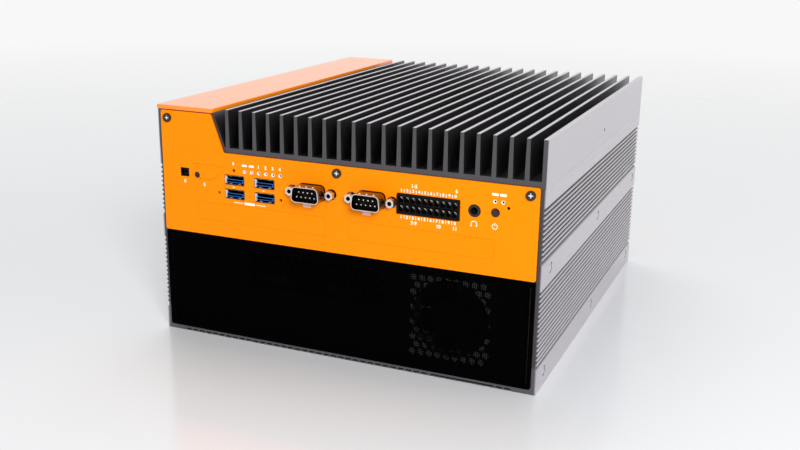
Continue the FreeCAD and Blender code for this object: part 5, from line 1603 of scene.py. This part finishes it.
class COMPUTER_OT_studio(bpy.types.Operator):
    """Floor, backdrop, lamps and camera"""
    bl_idname = "computer.studio"
    bl_label = "Studio"

    def execute(self, context):
        settings = context.scene.computer_studio
        self.add_floor(settings)
        self.add_world(context, settings)
        for lamp in LAMPS:
            self.add_lamp(*lamp)
        self.add_camera(context, settings)
        context.scene.view_settings.view_transform = "Standard"
        return {"FINISHED"}

    def add_floor(self, settings):
        """A round pale satin floor that fades into the backdrop."""
        shape = bmesh.new()
        bmesh.ops.create_circle(shape, cap_ends=True, radius=settings.reach, segments=96)
        mesh = bpy.data.meshes.new("floor")
        shape.to_mesh(mesh)
        shape.free()
        floor = linked("floor", mesh)
        coat = Finish("floor", Specular_IOR_Level=0.5, Roughness=0.16)
        coat.set("Base Color", tuple(settings.floor))
        across, along = coat.axes()[:2]
        far = (across * across + along * along).root()
        near, gone = (settings.reach * share for share in FLOOR_FADE)
        coat.set("Alpha", coat.spread(far, 1.0, 0.0, near, gone))
        floor.data.materials.append(coat.material)

    def add_world(self, context, settings):
        """A white room: bright where it is seen or mirrored, softer where it only lights."""
        world = bpy.data.worlds.new("studio")
        world.use_nodes = True
        tree = world.node_tree
        back = tree.nodes["Background"]
        path = tree.nodes.new("ShaderNodeLightPath")
        seen = tree.nodes.new("ShaderNodeMath")
        seen.operation = "MAXIMUM"
        seen_all = tree.nodes.new("ShaderNodeMath")
        seen_all.operation = "MAXIMUM"
        level = tree.nodes.new("ShaderNodeMapRange")
        level.inputs["To Min"].default_value = settings.fill
        level.inputs["To Max"].default_value = settings.backdrop
        join(tree,
             (path, "Is Camera Ray", seen, 0),
             (path, "Is Glossy Ray", seen, 1),
             (seen, 0, seen_all, 0),
             (path, "Is Transmission Ray", seen_all, 1),
             (seen_all, 0, level, "Value"),
             (level, 0, back, "Strength"))
        back.inputs["Color"].default_value = (1.0, 1.0, 1.0, 1.0)
        context.scene.world = world

    def add_lamp(self, name, place, target, size, power):
        """A soft square lamp that throws no glare on the floor."""
        lamp = bpy.data.lights.new(name, "AREA")
        lamp.size = size
        lamp.energy = power
        thing = linked(name, lamp)
        thing.location = place
        facing = Vector(target) - Vector(place)
        thing.rotation_mode = "QUATERNION"
        thing.rotation_quaternion = facing.to_track_quat("-Z", "Y")
        thing.visible_glossy = False

    def add_camera(self, context, settings):
        camera = bpy.data.cameras.new("camera")
        camera.sensor_width = 36.0
        camera.lens = settings.lens
        camera.clip_start = 0.01
        camera.clip_end = 20.0
        thing = linked("camera", camera)
        across, up = settings.azimuth, settings.elevation
        facing = Vector((-math.sin(across) * math.cos(up), math.cos(across) * math.cos(up),
                         -math.sin(up)))
        thing.location = CAMERA_PLACE
        thing.rotation_mode = "QUATERNION"
        level = facing.to_track_quat("-Z", "Y")
        thing.rotation_quaternion = level @ Quaternion((0, 0, 1), settings.roll)
        context.scene.camera = thing


STEPS = (
    COMPUTER_OT_studio,
    COMPUTER_OT_solid_finishes,
    COMPUTER_OT_front_panel,
    COMPUTER_OT_rear_panel,
    COMPUTER_OT_top_cover,
    COMPUTER_OT_dust_filter,
    COMPUTER_OT_vent_plate,
    COMPUTER_OT_screws,
    COMPUTER_OT_data_sockets,
    COMPUTER_OT_serial_sockets,
    COMPUTER_OT_terminal,
    COMPUTER_OT_small_sockets,
    COMPUTER_OT_power_button,
    COMPUTER_OT_lights,
    COMPUTER_OT_marks,
    COMPUTER_OT_rear_details,
)


class COMPUTER_PT_looks(bpy.types.Panel):
    """Sizes, colours and pieces of the industrial computer"""
    bl_idname = "COMPUTER_PT_looks"
    bl_label = "Industrial computer"
    bl_space_type = "VIEW_3D"
    bl_region_type = "UI"
    bl_category = "Computer"

    def draw(self, context):
        for group in GROUPS:
            settings = getattr(context.scene, group)
            box = self.layout.box()
            for name in type(settings).__annotations__:
                box.prop(settings, name)
        column = self.layout.column()
        for step in STEPS:
            column.operator(step.bl_idname)


def register():
    for group in GROUPS.values():
        bpy.utils.register_class(group)
    for name, group in GROUPS.items():
        setattr(bpy.types.Scene, name, bpy.props.PointerProperty(type=group))
    for step in STEPS:
        bpy.utils.register_class(step)
    bpy.utils.register_class(COMPUTER_PT_looks)


def unregister():
    bpy.utils.unregister_class(COMPUTER_PT_looks)
    for step in reversed(STEPS):
        bpy.utils.unregister_class(step)
    for name in GROUPS:
        delattr(bpy.types.Scene, name)
    for group in reversed(list(GROUPS.values())):
        bpy.utils.unregister_class(group)


def main():
    register()
    for step in STEPS:
        group, name = step.bl_idname.split(".")
        getattr(getattr(bpy.ops, group), name)()
    bpy.context.view_layer.update()


if __name__ == "__main__":
    main()
